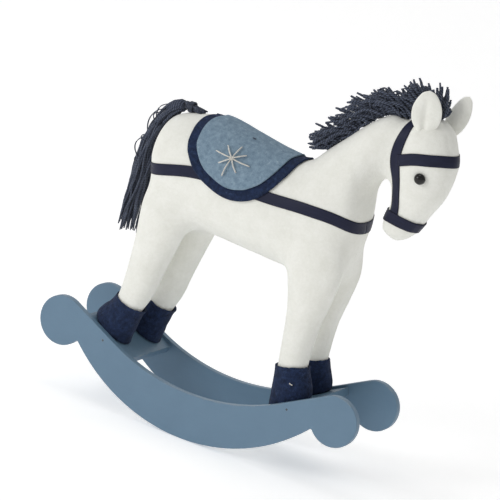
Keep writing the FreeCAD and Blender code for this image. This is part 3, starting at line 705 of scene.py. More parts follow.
def girth_line(count=240):
    """Round the body: a superellipse in plan, exponent 2.5, with the height a smooth curve of the
    place along the horse."""
    angle = np.linspace(0.0, 2 * math.pi, count, endpoint=False)
    power = 2.0 / 2.5
    x = 6.0 + 106.0 * np.sign(np.cos(angle)) * np.abs(np.cos(angle))**power
    y = 40.0 * np.sign(np.sin(angle)) * np.abs(np.sin(angle))**power
    z = spline([-110.0, -97.0, -41.0, 24.0, 69.0, 95.0, 108.0, 120.0],
               [215.0, 216.5, 229.0, 229.0, 229.0, 227.0, 222.5, 221.0], x)
    return np.stack([x, y, z], axis=1)


girth = lay_ribbon("body_ribbon_satin", girth_line(), skin, 0.3, closed=True)
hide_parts("body_ribbon")

# %% Bridle ribbons


def head_loop(points, count):
    """A smooth line through a few side view places (x, z) with a place across, y, at each."""
    points = np.asarray(points, float)
    return spline(np.arange(len(points)), points, np.linspace(0, len(points) - 1, count))


cheek_side = [(133.5, 330), (131.0, 317), (128.5, 303), (128.0, 288), (130.0, 270), (133.5, 251),
              (135.5, 238)]
cheek_out = [9.0, 17.0, 23.0, 25.0, 23.0, 20.0, 18.0]
over = [(x, -y, z) for (x, z), y in zip(cheek_side, cheek_out)][::-1] + [(135.0, 0.0, 336.0)]
over += [(x, y, z) for (x, z), y in zip(cheek_side, cheek_out)]
cheek = lay_ribbon("cheek_ribbon_satin", head_loop(over, 150), skin, 0.3)
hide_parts("cheek_ribbon")

brow = [(130.5, -24, 290.0), (146.0, -25, 295.8), (160.0, -23, 298.5), (172.0, -16, 300.5),
        (180.0, 0, 301.0), (172.0, 16, 300.5), (160.0, 23, 298.5), (146.0, 25, 295.8), (130.5, 24, 290.0)]
browband = lay_ribbon("browband_satin", head_loop(brow, 90), skin, 0.3)
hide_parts("browband")


def nose_line(count=110):
    """Round the muzzle: an ellipse in plan with half axes 24 and 19, falling towards the nose."""
    angle = np.linspace(0.0, 2 * math.pi, count, endpoint=False)
    x = 144.0 + 24.0 * np.cos(angle)
    y = 19.0 * np.sin(angle)
    return np.stack([x, y, 240.0 - 0.19 * (x - 141.0) - 0.005 * (x - 141.0)**2], axis=1)


noseband = lay_ribbon("noseband_satin", nose_line(), skin, 0.9, closed=True)
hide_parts("noseband")

# %% [markdown]
# ## Saddle
# Two pieces of wool felt lie over the back: a navy pad and a smaller blue-grey flap.  Each was cut flat,
# so its outline is drawn on the unrolled back, place along the horse against distance down the side,
# filled with rings towards its middle, and rolled onto the slices of the trunk.

# %% Rolling a flat cut onto the back
BACK_HALF_WIDE, BACK_HALF_HIGH = 37.3, 49.0


def slice_at(along):
    """Middle height, half height and half width of the trunk's slice at a place along it."""
    knots = TOPS[:len(TRUNK), 0]
    top = np.interp(along, knots, TOPS[:len(TRUNK), 1])
    low = np.interp(along, knots, LOWS[:len(TRUNK), 1])
    return (top + low) / 2, (top - low) / 2, np.interp(along, knots, WIDES[:len(TRUNK)])


def round_the_back(along, down):
    """The point on the trunk at a place along it and a distance down its side from the ridge, either
    way: the slice's ellipse is turned by the angle whose arc has that length."""
    middle, high, wide = slice_at(along)
    turns = np.linspace(0.0, 2.2, 220)
    pace = np.sqrt((BACK_HALF_WIDE * np.cos(turns))**2 + (BACK_HALF_HIGH * np.sin(turns))**2)
    arc = np.concatenate([[0.0], np.cumsum((pace[1:] + pace[:-1]) / 2 * np.diff(turns))])
    turn = np.interp(np.abs(down), arc, turns)
    return np.stack([along, np.sign(down) * wide * np.sin(turn), middle + high * np.cos(turn)], axis=-1)


# half outline of the navy pad, from the ridge at the back round to the ridge at the front:
# place along the horse, distance down the side
PAD_EDGE = np.array([(-52.5, 0.0), (-56.5, 9.0), (-58.6, 18.5), (-59.0, 30.0), (-57.5, 42.0), (-52.0, 52.5),
                     (-41.0, 63.5), (-24.0, 70.0), (-6.0, 72.0), (12.0, 66.0), (25.5, 55.0), (33.0, 44.5),
                     (39.0, 31.0), (42.0, 16.0), (45.0, 0.0)])


def full_outline(edge, count=160):
    """The half outline and its mirror image as one closed smooth curve."""
    both = np.concatenate([edge, (edge * (1, -1))[-2:0:-1]])
    both = np.concatenate([both, both[:1]])
    return spline(np.arange(len(both)), both, np.linspace(0, len(both) - 1, count, endpoint=False))


def inset(outline, by):
    """The closed curve moved inwards by a distance, at right angles to its own run."""
    run = np.roll(outline, -3, axis=0) - np.roll(outline, 3, axis=0)
    run /= np.linalg.norm(run, axis=1, keepdims=True)
    moved = outline + by * np.stack([-run[:, 1], run[:, 0]], axis=1)
    turned = outline - by * np.stack([-run[:, 1], run[:, 0]], axis=1)
    centre = outline.mean(axis=0)
    reach = [np.linalg.norm(curve - centre, axis=1).mean() for curve in (moved, turned)]
    return moved if reach[0] < reach[1] else turned


def felt_sheet(name, outline, off, thickness, rings=34, wander=0.35):
    """A felt piece: rings from its outline to its middle, rolled onto the back and laid on the skin.
    Its cut edge wanders a little, as scissors leave it."""
    count = len(outline)
    angle = np.linspace(0, 2 * math.pi, count, endpoint=False)
    phase = rng.uniform(0, 2 * math.pi, 6)
    drift = sum(np.sin(angle * turns + shift) for turns, shift in zip((7, 11, 17, 23, 31, 41), phase)) / 6
    centre = np.array([outline[:, 0].mean(), 0.0])
    way = outline - centre
    way /= np.linalg.norm(way, axis=1, keepdims=True)
    edge = outline + wander * drift[:, None] * way
    share = (np.linspace(1.0, 0.0, rings + 1)[:-1])[:, None, None]
    flat = centre + share * (edge - centre)
    flat = np.concatenate([flat.reshape(-1, 2), [centre]])
    points = round_the_back(flat[:, 0], flat[:, 1])
    laid = drop_on(points, skin, off)
    faces = [grid_quads(rings, count), fan(np.arange(count) + (rings - 1) * count, rings * count)]
    thing = make_mesh(name, laid, faces, uv=flat / 100.0)
    if thing.data.polygons[len(thing.data.polygons) - 3].normal.z < 0:
        thing.data.flip_normals()
    smooth_points(thing, np.full(len(laid), 0.4), 3)
    thicken(thing, thickness)
    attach(thing, "horse")
    print(name, "area", round(area_of(thing) * 1e4, 1), "cm2")
    return thing


pad_outline = full_outline(PAD_EDGE)
pad = felt_sheet("saddle_pad_felt", pad_outline, 1.0, 1.2)
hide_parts("saddle_pad")
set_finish(pad, "navy_felt")
flap_outline = inset(pad_outline, 9.3)
flap = felt_sheet("saddle_flap_felt", flap_outline, 2.5, 1.2, wander=0.25)
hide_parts("saddle_flap")
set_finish(flap, "blue_felt")


# %% [markdown]
# ## Embroidered star
# Eight long stitches of white stranded cotton meet in the middle of the flap's flank.  Each one goes
# down through the felt at both ends, so a stitch is a thin tube whose ends dip and whose middle stands
# up, and no two are the same length.

# %% Tubes for threads and yarn
def tube_rings(lines, radius, sides, ply=0.0, turns=0.0):
    """Rings round many lines at once (lines: n x m x 3; radius: n x m).  A ply share makes the
    section two lobed and the turns twist it along the line, as spun yarn is."""
    run = np.gradient(lines, axis=1)
    run /= np.linalg.norm(run, axis=2, keepdims=True) + 1e-9
    up = np.where(np.abs(run[..., 2:3]) > 0.85, [[[1.0, 0.0, 0.0]]], [[[0.0, 0.0, 1.0]]])
    first = np.cross(run, up)
    first /= np.linalg.norm(first, axis=2, keepdims=True) + 1e-9
    second = np.cross(run, first)
    angle = np.linspace(0, 2 * math.pi, sides, endpoint=False)
    twist = np.linspace(0, 2 * math.pi, lines.shape[1])[None, :, None] * turns
    size = radius[..., None] * (1.0 + ply * np.cos(2 * (angle[None, None, :] - twist)))
    way = (np.cos(angle)[None, None, :, None] * first[:, :, None, :]
           + np.sin(angle)[None, None, :, None] * second[:, :, None, :])
    return lines[:, :, None, :] + size[..., None] * way


def strands_mesh(name, lines, radius, sides=6, ply=0.22, turns=5.0):
    """Many closed tubes as one mesh, with a UV map: once round each strand, and its length along it
    in units of its own width."""
    rings = tube_rings(lines, radius, sides, ply, turns)
    count, rows = rings.shape[:2]
    one = rows * sides + 2
    ends = np.stack([lines[:, 0], lines[:, -1]], axis=1)
    points = np.concatenate([rings.reshape(count, -1, 3), ends], axis=1).reshape(-1, 3)
    local = [grid_quads(rows, sides)[:, ::-1], fan(np.arange(sides), rows * sides),
             fan(np.arange(sides) + (rows - 1) * sides, rows * sides + 1, turned=True)]
    faces = [(part[None] + (np.arange(count) * one)[:, None, None]).reshape(-1, part.shape[1])
             for part in local]
    steps = np.linalg.norm(np.diff(lines, axis=1), axis=2)
    length = np.concatenate([np.zeros((count, 1)), np.cumsum(steps, axis=1)], axis=1)
    v = length / (2 * radius.mean())
    around = np.broadcast_to((np.arange(sides) / sides)[None, None, :], rings.shape[:3])
    uv = np.stack([around, np.broadcast_to(v[:, :, None], rings.shape[:3])], axis=3).reshape(count, -1, 2)
    tips = np.stack([np.full((count, 2), 0.5), np.stack([v[:, 0], v[:, -1]], axis=1)], axis=2)
    thing = make_mesh(name, points, faces, np.concatenate([uv, tips], axis=1).reshape(-1, 2))
    print(name, count, "strands,", len(thing.data.polygons), "faces")
    return thing


# end points of the stitches on the flank from the star's middle: forwards, upwards
STITCHES = [(-8.3, 8.5), (3.6, 10.4), (11.2, 5.3), (17.9, -2.1), (8.4, -10.0), (-3.1, -15.9), (-9.8, -6.6),
            (-15.9, 2.1)]


def make_star(name, side, node):
    """The star on one flank: the stitches' lines are set out flat, carried straight across to the
    trunk's own ellipse, wide * sqrt(1 - ((z - middle) / high)^2), laid on the flap and raised in a
    low arch."""
    share = np.linspace(0.0, 1.0, 9)
    ends = np.array(STITCHES)
    middle = np.array([-11.5, 250.5])
    flat = middle + share[None, :, None] * ends[:, None, :]
    bend = np.sin(share * math.pi)[None, :, None] * rng.normal(0, 0.35, (8, 1, 2))
    flat = flat + bend
    level, high, wide = slice_at(flat[..., 0])
    over = 4.2
    climb = (flat[..., 1] - level) / (high + over)
    across = (wide + over) * np.sqrt(np.clip(1 - climb**2, 0.0, 1.0))
    out = np.stack([0 * across, side * across / (wide + over)**2, climb / (high + over)], axis=2)
    out /= np.linalg.norm(out, axis=2, keepdims=True)
    points = np.stack([flat[..., 0], side * across, flat[..., 1]], axis=2) + 3.0 * out
    low = drop_on(points, flap, 0.2 + 1.2)
    raised = drop_on(points, flap, 1.0 + 1.2)
    arch = (0.25 + 0.75 * np.sin(share * math.pi))[None, :, None]
    lines = low + (raised - low) * arch
    radius = np.broadcast_to(0.52 + 0.08 * np.sin(share * math.pi), lines.shape[:2])
    star = strands_mesh(name, lines, radius, sides=8, ply=0.15, turns=2.5)
    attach(star, "horse")
    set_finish(star, "white_thread")
    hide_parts(node)
    return star


make_star("star_right_thread", -1, "star_right")
make_star("star_left_thread", 1, "star_left")

# %% [markdown]
# ## Ears
# Each ear is a small stuffed leaf, sewn from two pieces, pinched together at the root so a fold runs up
# its open side.  It is a stack of flat ovals whose width follows a leaf's outline; the fold is pressed
# into the open side and fades out towards the tip.

# %% Padded ears
def make_ear(name, side, root, lean, long, wide, node):
    """Ovals along the ear's axis: width wide sin-shaped over its length, thickness 7 mm at the root
    and thinner up, the edges brought forward by 2 mm and a groove pressed in down the middle."""
    tip = 0.9 + 0.1 * np.sin(np.linspace(0.12, 1.0, 10) * math.pi / 2)
    share = np.concatenate([[0.0], np.linspace(0.02, 0.9, 26), tip])
    leaf = spline([0.0, 0.2, 0.45, 0.7, 0.88, 0.96, 1.0], [0.46, 0.84, 1.0, 0.88, 0.58, 0.34, 0.02], share)
    fat = spline([0.0, 0.3, 0.7, 0.93, 1.0], [3.6, 3.7, 3.0, 1.9, 0.1], share)
    axis = np.array([lean[0], side * lean[1], 1.0])
    axis /= np.linalg.norm(axis)
    opening = np.array([0.36, side * 0.93, -0.12])
    opening -= opening.dot(axis) * axis
    opening /= np.linalg.norm(opening)
    across = np.cross(axis, opening) * side
    angle = np.linspace(0, 2 * math.pi, 40, endpoint=False)
    a = (leaf[:, None] * wide / 2) * np.cos(angle)[None, :]
    b = fat[:, None] * np.sin(angle)[None, :] * (1 - 0.25 * np.cos(angle)[None, :]**4)
    fade = (1 - smoothstep(0.45, 0.95, share))[:, None]
    open_side = smoothstep(-0.1, 0.5, np.sin(angle))[None, :]
    b = b - 3.4 * fade * open_side * np.exp(-((a - 1.0) / 1.3)**2) + 2.6 * (a / (wide / 2))**2 - 0.8
    middle = np.array(root) + share[:, None] * long * axis + (2.2 * share[:, None]**2) * opening
    rings = middle[:, None, :] + a[..., None] * across + b[..., None] * opening
    thing = make_mesh(name, *joined_tubes([rings]))
    smooth_points(thing, np.full(len(thing.data.vertices), 0.35), 3)
    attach(thing, "horse")
    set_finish(thing, "white_cloth")
    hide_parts(node)
    return thing


ear_right = make_ear("ear_right_padded", -1, (147.5, -14.5, HEAD_BASE[1] + 101.0), (0.02, 0.24), 39.0, 25.5,
                     "ear_right")
make_ear("ear_left_padded", 1, (155.0, 14.5, HEAD_BASE[1] + 96.5), (0.22, 0.24), 39.5, 23.5, "ear_left")
print("ears", len(ear_right.data.polygons), "faces each")

# %% [markdown]
# ## Felt boots
# The hooves are cut from navy wool felt and glued round the foot of each leg: wide and flat on the
# board, narrower at the top, with the felt's cut edge standing proud of the leg.  The wall is one
# profile carried from the sole up, over the edge and down inside.

# %% Boots round the feet
BOOT_HIGH = (30.0, 32.5)  # rear, front


def make_boot(name, end, side, reach, node):
    """Ovals from the sole's middle outwards, up the wall, over the cut edge and down inside.  Their
    tilt goes from the board's slope at the sole to the ankle's own at the top."""
    toe = 5.0 if end > 0 else -12.5
    x = reach + toe
    sole = np.array([x, board_top(x)])
    knots = [0.0, 0.05, 0.17, 0.55, 0.85, 1.0]
    up = np.concatenate([[0.0, 0.0, 0.0], np.linspace(0.0, 1.0, 26)[1:], [1.012, 1.0, 0.93, 0.8]])
    grow = np.concatenate([[0.35, 0.75, 0.96], np.ones(25), [0.97, 0.93, 0.90, 0.88]])
    long = spline(knots, [19.0, 19.9, 19.9, 17.6, 15.7, 15.4], np.clip(up, 0, 1)) * grow
    wide = spline(knots, [13.9, 14.6, 14.8, 14.6, 14.2, 14.1], np.clip(up, 0, 1)) * grow
    ankle_tilt = 0.20 if end > 0 else -0.34
    rise = spline(knots, [end * 0.505, end * 0.505, end * 0.5, end * 0.34, end * 0.2, ankle_tilt],
                  np.clip(up, 0, 1))
    shift = spline([0.0, 0.17, 0.55, 1.0], [0.0, -0.05, -0.42, -1.0], np.clip(up, 0, 1)) * toe
    middle = np.stack([sole[0] + shift, sole[1] + 0.15 + up * BOOT_HIGH[end > 0]], axis=1)
    way = np.stack([np.ones(len(up)), rise], axis=1) / np.hypot(1.0, rise)[:, None]
    rings = ellipse_rings(middle, way, long, wide, 56)
    rings[:, :, 1] += side * SPREAD
    angle = np.linspace(0, 2 * math.pi, 56, endpoint=False)
    phase = rng.uniform(0, 2 * math.pi, 8)
    ragged = sum(np.sin(angle * turns + shift) for turns, shift in zip((3, 5, 8, 13, 19, 26), phase[:6])) / 6
    rings[:, :, 2] += 0.9 * ragged[None, :] * smoothstep(0.8, 1.0, up)[:, None]
    lump = (np.sin(rings[..., 0] * 0.55 + phase[6]) * np.sin(rings[..., 2] * 0.47 + phase[7])
            * np.sin(rings[..., 1] * 0.5 + phase[0]))
    out = rings - rings.mean(axis=1, keepdims=True)
    out /= np.linalg.norm(out, axis=2, keepdims=True)
    rings += (0.35 * lump * smoothstep(0.02, 0.2, up)[:, None])[..., None] * out
    thing = make_mesh(name, *joined_tubes([rings]))
    subdivide(thing)
    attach(thing, "horse")
    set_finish(thing, "navy_felt")
    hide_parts(node)
    return thing


boots = {name: make_boot("hoof_" + name + "_felt", *where, "hoof_" + name) for name, where in LEGS.items()}
print("boots", len(boots), "of", len(boots["front_right"].data.polygons), "faces")

# %% [markdown]
# ## Mane
# The mane is cut navy yarn sewn into the seam along the crest, brushed back and up, with a few uncut
# loops near the poll and a forelock between the ears.  Every strand is a thin two-ply tube of its own;
# all of them are worked out at once as arrays and kept in one mesh.

# %% Yarn along the crest
CREST = np.concatenate([TOPS[len(TRUNK) - 1:], [[134.0, HEAD_BASE[1] + 113.0], [145.0, HEAD_BASE[1] + 114.0],
                                               [152.0, HEAD_BASE[1] + 112.0]]])


def crest_at(share):
    """Place (x, z) and direction of the crest, a smooth curve from the withers to the forelock."""
    knots = np.linspace(0.0, 1.0, len(CREST))
    place = spline(knots, CREST, share)
    ahead = (spline(knots, CREST, np.clip(share + 0.01, 0, 1))
             - spline(knots, CREST, np.clip(share - 0.01, 0, 1)))
    return place, ahead / np.linalg.norm(ahead, axis=-1, keepdims=True)


MANE_STRANDS, MANE_LOCKS = 330, 46


def mane_strands(count, steps=9):
    """Lines of the strands: each leaves its root near the crest's own direction, bends away towards
    its lock's angle and wavers a little.  The angle in the side view turns from along the crest,
    backwards, at the withers to upright at the forelock."""
    share = np.sort(rng.uniform(0.09, 1.0, count))
    place, _ = crest_at(share)
    angle = np.interp(share, [0.09, 0.25, 0.45, 0.6, 0.75, 0.88, 1.0], [206, 202, 194, 182, 158, 124, 88])
    lock = rng.normal(0, 12, MANE_LOCKS + 1)[(share * MANE_LOCKS).astype(int)]
    angle = np.radians(angle + lock + rng.normal(0, 7, count))
    length = np.interp(share, [0.09, 0.2, 0.5, 0.8, 0.92, 1.0], [23, 31, 35, 32, 25, 15])
    length = length * rng.uniform(0.75, 1.10, count)
    y = rng.normal(0, 2.6, count)
    side = np.sign(y) * rng.uniform(0.0, 0.42, count) + rng.normal(0, 0.12, count)
    bend = np.radians(rng.normal(-42, 16, count))
    t = np.linspace(0.0, 1.0, steps)[None, :]
    turn = angle[:, None] + bend[:, None] * (1 - t)**1.5
    waver = 0.26 * np.sin(t * 5.0 + rng.uniform(0, 6.28, (count, 1)))
    step = np.stack([np.cos(turn + waver), side[:, None] * (0.4 + t) + waver, np.sin(turn + waver)], axis=2)
    step /= np.linalg.norm(step, axis=2, keepdims=True)
    run = np.cumsum(step, axis=1) * (length[:, None, None] / steps)
    root = drop_on(np.stack([place[:, 0], y, place[:, 1] - 0.05 * y**2], axis=1), skin, 0.2)
    return root[:, None, :] + run - step[:, :1] * 2.0


def mane_loops(count, steps=15):
    """Uncut loops: half ovals that stand on the crest between two roots, leaning back."""
    share = rng.uniform(0.45, 0.86, count)
    place, ahead = crest_at(share)
    t = np.linspace(0.0, math.pi, steps)[None, :]
    wide, high = rng.uniform(4.0, 8.0, count), rng.uniform(16.0, 25.0, count)
    lean = np.radians(rng.uniform(100, 150, count))[:, None]
    along = wide[:, None] * -np.cos(t)
    up = high[:, None] * np.sin(t)**0.8
    line = np.stack([place[:, :1] + along * ahead[:, :1] + up * np.cos(lean),
                     rng.normal(0, 4.5, (count, 1)) + rng.normal(0, 4.0, (count, 1)) * np.sin(t),
                     place[:, 1:] + along * ahead[:, 1:] + up * np.sin(lean) - 1.0], axis=2)
    return line


lines = mane_strands(MANE_STRANDS)
taper = np.interp(np.linspace(0, 1, lines.shape[1]), [0, 0.8, 1.0], [1.0, 1.0, 0.85])[None, :]
mane = strands_mesh("mane_yarn", lines, rng.uniform(0.88, 1.22, (MANE_STRANDS, 1)) * taper, ply=0.12)
loops = mane_loops(16)
mane_loop_piece = strands_mesh("mane_loops", loops, np.full(loops.shape[:2], 0.7), turns=8.0)
for piece in (mane, mane_loop_piece):
    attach(piece, "horse")
    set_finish(piece, "navy_yarn")
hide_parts("mane")

# %% [markdown]
# ## Tail
# The tail is a hank of the same yarn, bound with thread where it is sewn to the rump.  The short end
# lies forward on the rump; the long end hangs and can be lifted, so it rides on its own body.

# %% The hanging hank
PIVOT = np.array([-84.5, 0.0, 274.0])
TAIL_LINE = np.array([(1.0, -1.6), (-4.2, -2.0), (-8.6, -5.8), (-13.0, -13.0), (-18.0, -25.0), (-22.5, -41.0),
                      (-25.5, -66.0), (-28.0, -94.0), (-30.0, -122.0)])
TAIL_SHARE = np.array([0.0, 0.05, 0.10, 0.17, 0.28, 0.42, 0.62, 0.82, 1.0])


def tail_strands(count, steps=26):
    """Lines down the hank: each strand keeps its own place in the round section, which opens out
    below the binding, while it swirls slowly and wavers; the ends are cut at different lengths."""
    t = np.linspace(0.0, 1.0, steps)[None, :]
    reach = rng.uniform(0.88, 1.03, count)[:, None]
    at = np.clip(t * reach, 0, 1.03)
    middle = spline(TAIL_SHARE, TAIL_LINE, np.clip(at, 0, 1))
    middle[..., 1] += TAIL_LINE[-1, 1] * np.clip(at - 1, 0, 1)
    run = np.gradient(middle, axis=1)
    run /= np.linalg.norm(run, axis=2, keepdims=True) + 1e-9
    out = np.stack([run[..., 1], -run[..., 0]], axis=2)
    start = rng.uniform(0, 2 * math.pi, (count, 1))
    angle = start + 0.9 * at + 0.25 * np.sin(at * 9 + rng.uniform(0, 6.28, (count, 1)))
    ring = np.sqrt(rng.uniform(0.12, 1.0, (count, 1)))
    spread = np.interp(at, [0.0, 0.05, 0.12, 0.25, 0.5, 0.8, 1.0],
                       [4.0, 5.4, 7.0, 8.8, 10.2, 9.8, 9.0]) * ring
    waver = 0.7 * np.sin(at * 15 + rng.uniform(0, 6.28, (count, 1))) * smoothstep(0.1, 0.5, at)
    off, y = spread * np.cos(angle) + waver, spread * np.sin(angle) * 1.05
    line = np.stack([PIVOT[0] + middle[..., 0] + off * out[..., 0], y,
                     PIVOT[2] + middle[..., 1] + off * out[..., 1]], axis=2)
    return line


def tail_loops(count, steps=14):
    """Stray loops that stand off the hank's rear side, each a half oval between two places on it."""
    start = np.sort(rng.uniform(0.03, 0.55, count))
    t = np.linspace(0.0, 1.0, steps)[None, :]
    at = start[:, None] + rng.uniform(0.06, 0.2, (count, 1)) * t
    middle = spline(TAIL_SHARE, TAIL_LINE, at)
    run = np.gradient(middle, axis=1)
    run /= np.linalg.norm(run, axis=2, keepdims=True)
    out = np.stack([run[..., 1], -run[..., 0]], axis=2)
    proud = 6.0 + rng.uniform(3.5, 7.5, (count, 1)) * np.sin(t * math.pi)**0.7
    y = rng.normal(-1.0, 3.5, (count, 1)) + rng.normal(0, 2.0, (count, 1)) * t
    return np.stack([PIVOT[0] + middle[..., 0] + proud * out[..., 0], y + 0 * t,
                     PIVOT[2] + middle[..., 1] + proud * out[..., 1]], axis=2)


TAIL_STRANDS = 92
lines = tail_strands(TAIL_STRANDS)
taper = np.interp(np.linspace(0, 1, lines.shape[1]), [0, 0.95, 1.0], [1.0, 1.0, 0.6])[None, :]
tail = strands_mesh("tail_yarn", lines, rng.uniform(0.8, 1.1, (TAIL_STRANDS, 1)) * taper, turns=16.0)
loops = tail_loops(9)
tail_loop_piece = strands_mesh("tail_loops", loops, np.full(loops.shape[:2], 0.5), turns=6.0)
for piece in (tail, tail_loop_piece):
    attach(piece, "tail")
    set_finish(piece, "navy_yarn")
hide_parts("tail")

# %% The sewn down end and its binding
def stub_strands(count, steps=12):
    """Lines from the binding forwards along the rump; they fan out a little."""
    t = np.linspace(0.0, 1.0, steps)[None, :]
    y0 = rng.uniform(-3.6, 3.6, (count, 1))
    z0 = rng.uniform(-1.5, 3.2, (count, 1))
    long = rng.uniform(15.0, 20.0, (count, 1))
    x = PIVOT[0] + 1.5 + long * t
    fall = np.interp(x, [-84, -75, -62], [0.0, -1.2, -2.6])
    y = y0 * (1.0 + 0.5 * t) + 0.4 * np.sin(9 * t + y0)
    return np.stack([x, y, PIVOT[2] + 0.6 + z0 * (1 - 0.45 * t) + fall], axis=2)


def binding_line(turns=5, steps=90):
    """A close helix of thread round the hank where it is bound."""
    t = np.linspace(0.0, 1.0, steps)
    angle = 2 * math.pi * turns * t
    line = [PIVOT[0] + 5.6 + 4.4 * t, 5.4 * np.cos(angle), PIVOT[2] - 0.2 + 4.6 * np.sin(angle)]
    return np.stack(line, axis=1)[None]


lines = stub_strands(26)
stub_radius = rng.uniform(0.75, 1.0, (26, 1)) * np.ones((1, lines.shape[1]))
stub = strands_mesh("tail_stub_yarn", lines, stub_radius, turns=7.0)
bound = binding_line()
binding = strands_mesh("tail_binding_thread", bound, np.full(bound.shape[:2], 0.55), ply=0.1, turns=30.0)
for piece, node in ((stub, "tail_stub"), (binding, "tail_binding")):
    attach(piece, "horse")
    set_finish(piece, "navy_yarn")
    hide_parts(node)

# %% Two small tacks
def make_tack(name, ends, target, node_slot):
    """One short stitch between two places, laid on a piece and standing a little proud of it."""
    share = np.linspace(0.0, 1.0, 7)[:, None]
    line = np.array(ends[0]) * (1 - share) + np.array(ends[1]) * share
    line = drop_on(line, target, 0.5)[None]
    tack = strands_mesh(name, line, np.full(line.shape[:2], 0.5), ply=0.1, turns=2.0)
    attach(tack, "horse")
    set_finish(tack, node_slot)


make_tack("hoof_tack_thread", [(88.0, -SPREAD - 16.0, 80.0), (91.5, -SPREAD - 16.0, 79.0)],
          boots["front_right"], "white_thread")
make_tack("saddle_tack_thread", [(-4.5, -18.0, 279.0), (-1.5, -18.0, 279.0)], flap, "navy_yarn")

# %% [markdown]
# ## Finishes
# Every finish is worked out from the place on the object (or, for ribbon and yarn, from the piece's
# own map of length and width), so it needs no picture.  Effects that several finishes share are node
# groups with named sockets, each built once: soft mottling, short fibres, and paint lightened at its
# edges, partly as rubbed paint and partly as a painted highlight.

# %% Node helpers
class Graph:
    """A few short words for placing and joining nodes in one material or group."""

    def __init__(self, tree):
        self.tree = tree

    def node(self, kind, settings=None, **inputs):
        """A node with its settings, each input set to a number or colour or joined to an output."""
        made = self.tree.nodes.new(kind)
        for word, value in (settings or {}).items():
            setattr(made, word, value)
        for word, value in inputs.items():
            self.join(made.inputs[word.replace("_", " ")], value)
        return made

    def join(self, socket, value):
        """Joins an output to a socket, or sets the socket's own value."""
        if isinstance(value, bpy.types.NodeSocket):
            self.tree.links.new(value, socket)
        else:
            socket.default_value = value

    def math(self, operation, first, second=0.0, third=0.0, clamp=False):
        """One arithmetic step on numbers or outputs."""
        made = self.tree.nodes.new("ShaderNodeMath")
        made.operation = operation
        made.use_clamp = clamp
        for socket, value in zip(made.inputs, (first, second, third)):
            self.join(socket, value)
        return made.outputs[0]

    def ramp(self, value, low, high, start=0.0, end=1.0, smooth=True):
        """Turns low..high into start..end, held at both ends."""
        made = self.tree.nodes.new("ShaderNodeMapRange")
        made.interpolation_type = "SMOOTHSTEP" if smooth else "LINEAR"
        for word, number in (("Value", value), ("From Min", low), ("From Max", high), ("To Min", start),
                             ("To Max", end)):
            self.join(made.inputs[word], number)
        return made.outputs["Result"]

    def mix(self, share, first, second):
        """A blend of two colours."""
        made = self.tree.nodes.new("ShaderNodeMix")
        made.data_type = "RGBA"
        self.join(made.inputs[0], share)
        self.join(made.inputs[6], first)
        self.join(made.inputs[7], second)
        return made.outputs[2]

    def noise(self, place, scale, detail=3.0, roughness=0.55, distortion=0.0):
        """Fractal noise, 0 to 1, at a number of features per metre."""
        made = self.node("ShaderNodeTexNoise", Vector=place, Scale=scale, Detail=detail,
                         Roughness=roughness, Distortion=distortion)
        return made.outputs["Fac"]


def new_group(name, inputs, outputs):
    """An empty node group with float, vector or colour sockets of those names."""
    group = bpy.data.node_groups.new(name, "ShaderNodeTree")
    kinds = {"float": "NodeSocketFloat", "vector": "NodeSocketVector", "colour": "NodeSocketColor"}
    for word, kind, value in inputs:
        socket = group.interface.new_socket(name=word, in_out="INPUT", socket_type=kinds[kind])
        if value is not None:
            socket.default_value = value
    for word, kind in outputs:
        group.interface.new_socket(name=word, in_out="OUTPUT", socket_type=kinds[kind])
    graph = Graph(group)
    return graph, graph.node("NodeGroupInput").outputs, graph.node("NodeGroupOutput").inputs


def srgb(red, green, blue):
    """A colour given as on a paint chart, 0 to 255, in Blender's linear values."""
    part = np.array([red, green, blue]) / 255.0
    linear = np.where(part <= 0.04045, part / 12.92, ((part + 0.055) / 1.055)**2.4)
    return (*[float(value) for value in linear], 1.0)


# %% Shared effects as node groups
def make_mottle_group():
    """Cloudy colour: two noises of different size mixed, the colour blended from dark to light."""
    graph, given, gives = new_group(
        "mottle", [("Place", "vector", None), ("Scale", "float", 100.0), ("Strength", "float", 1.0),
                   ("Dark", "colour", None), ("Light", "colour", None)],
        [("Color", "colour"), ("Mask", "float")])
    broad = graph.noise(given["Place"], given["Scale"], 4.0, 0.6)
    fine = graph.noise(given["Place"], graph.math("MULTIPLY", given["Scale"], 5.3), 2.0, 0.5)
    mixed = graph.math("ADD", graph.math("MULTIPLY", broad, 0.65), graph.math("MULTIPLY", fine, 0.35))
    centred = graph.math("SUBTRACT", mixed, 0.5)
    spread = graph.math("MULTIPLY_ADD", centred, given["Strength"], 0.5, clamp=True)
    graph.join(gives["Color"], graph.mix(spread, given["Dark"], given["Light"]))
    graph.join(gives["Mask"], spread)
    return graph.tree


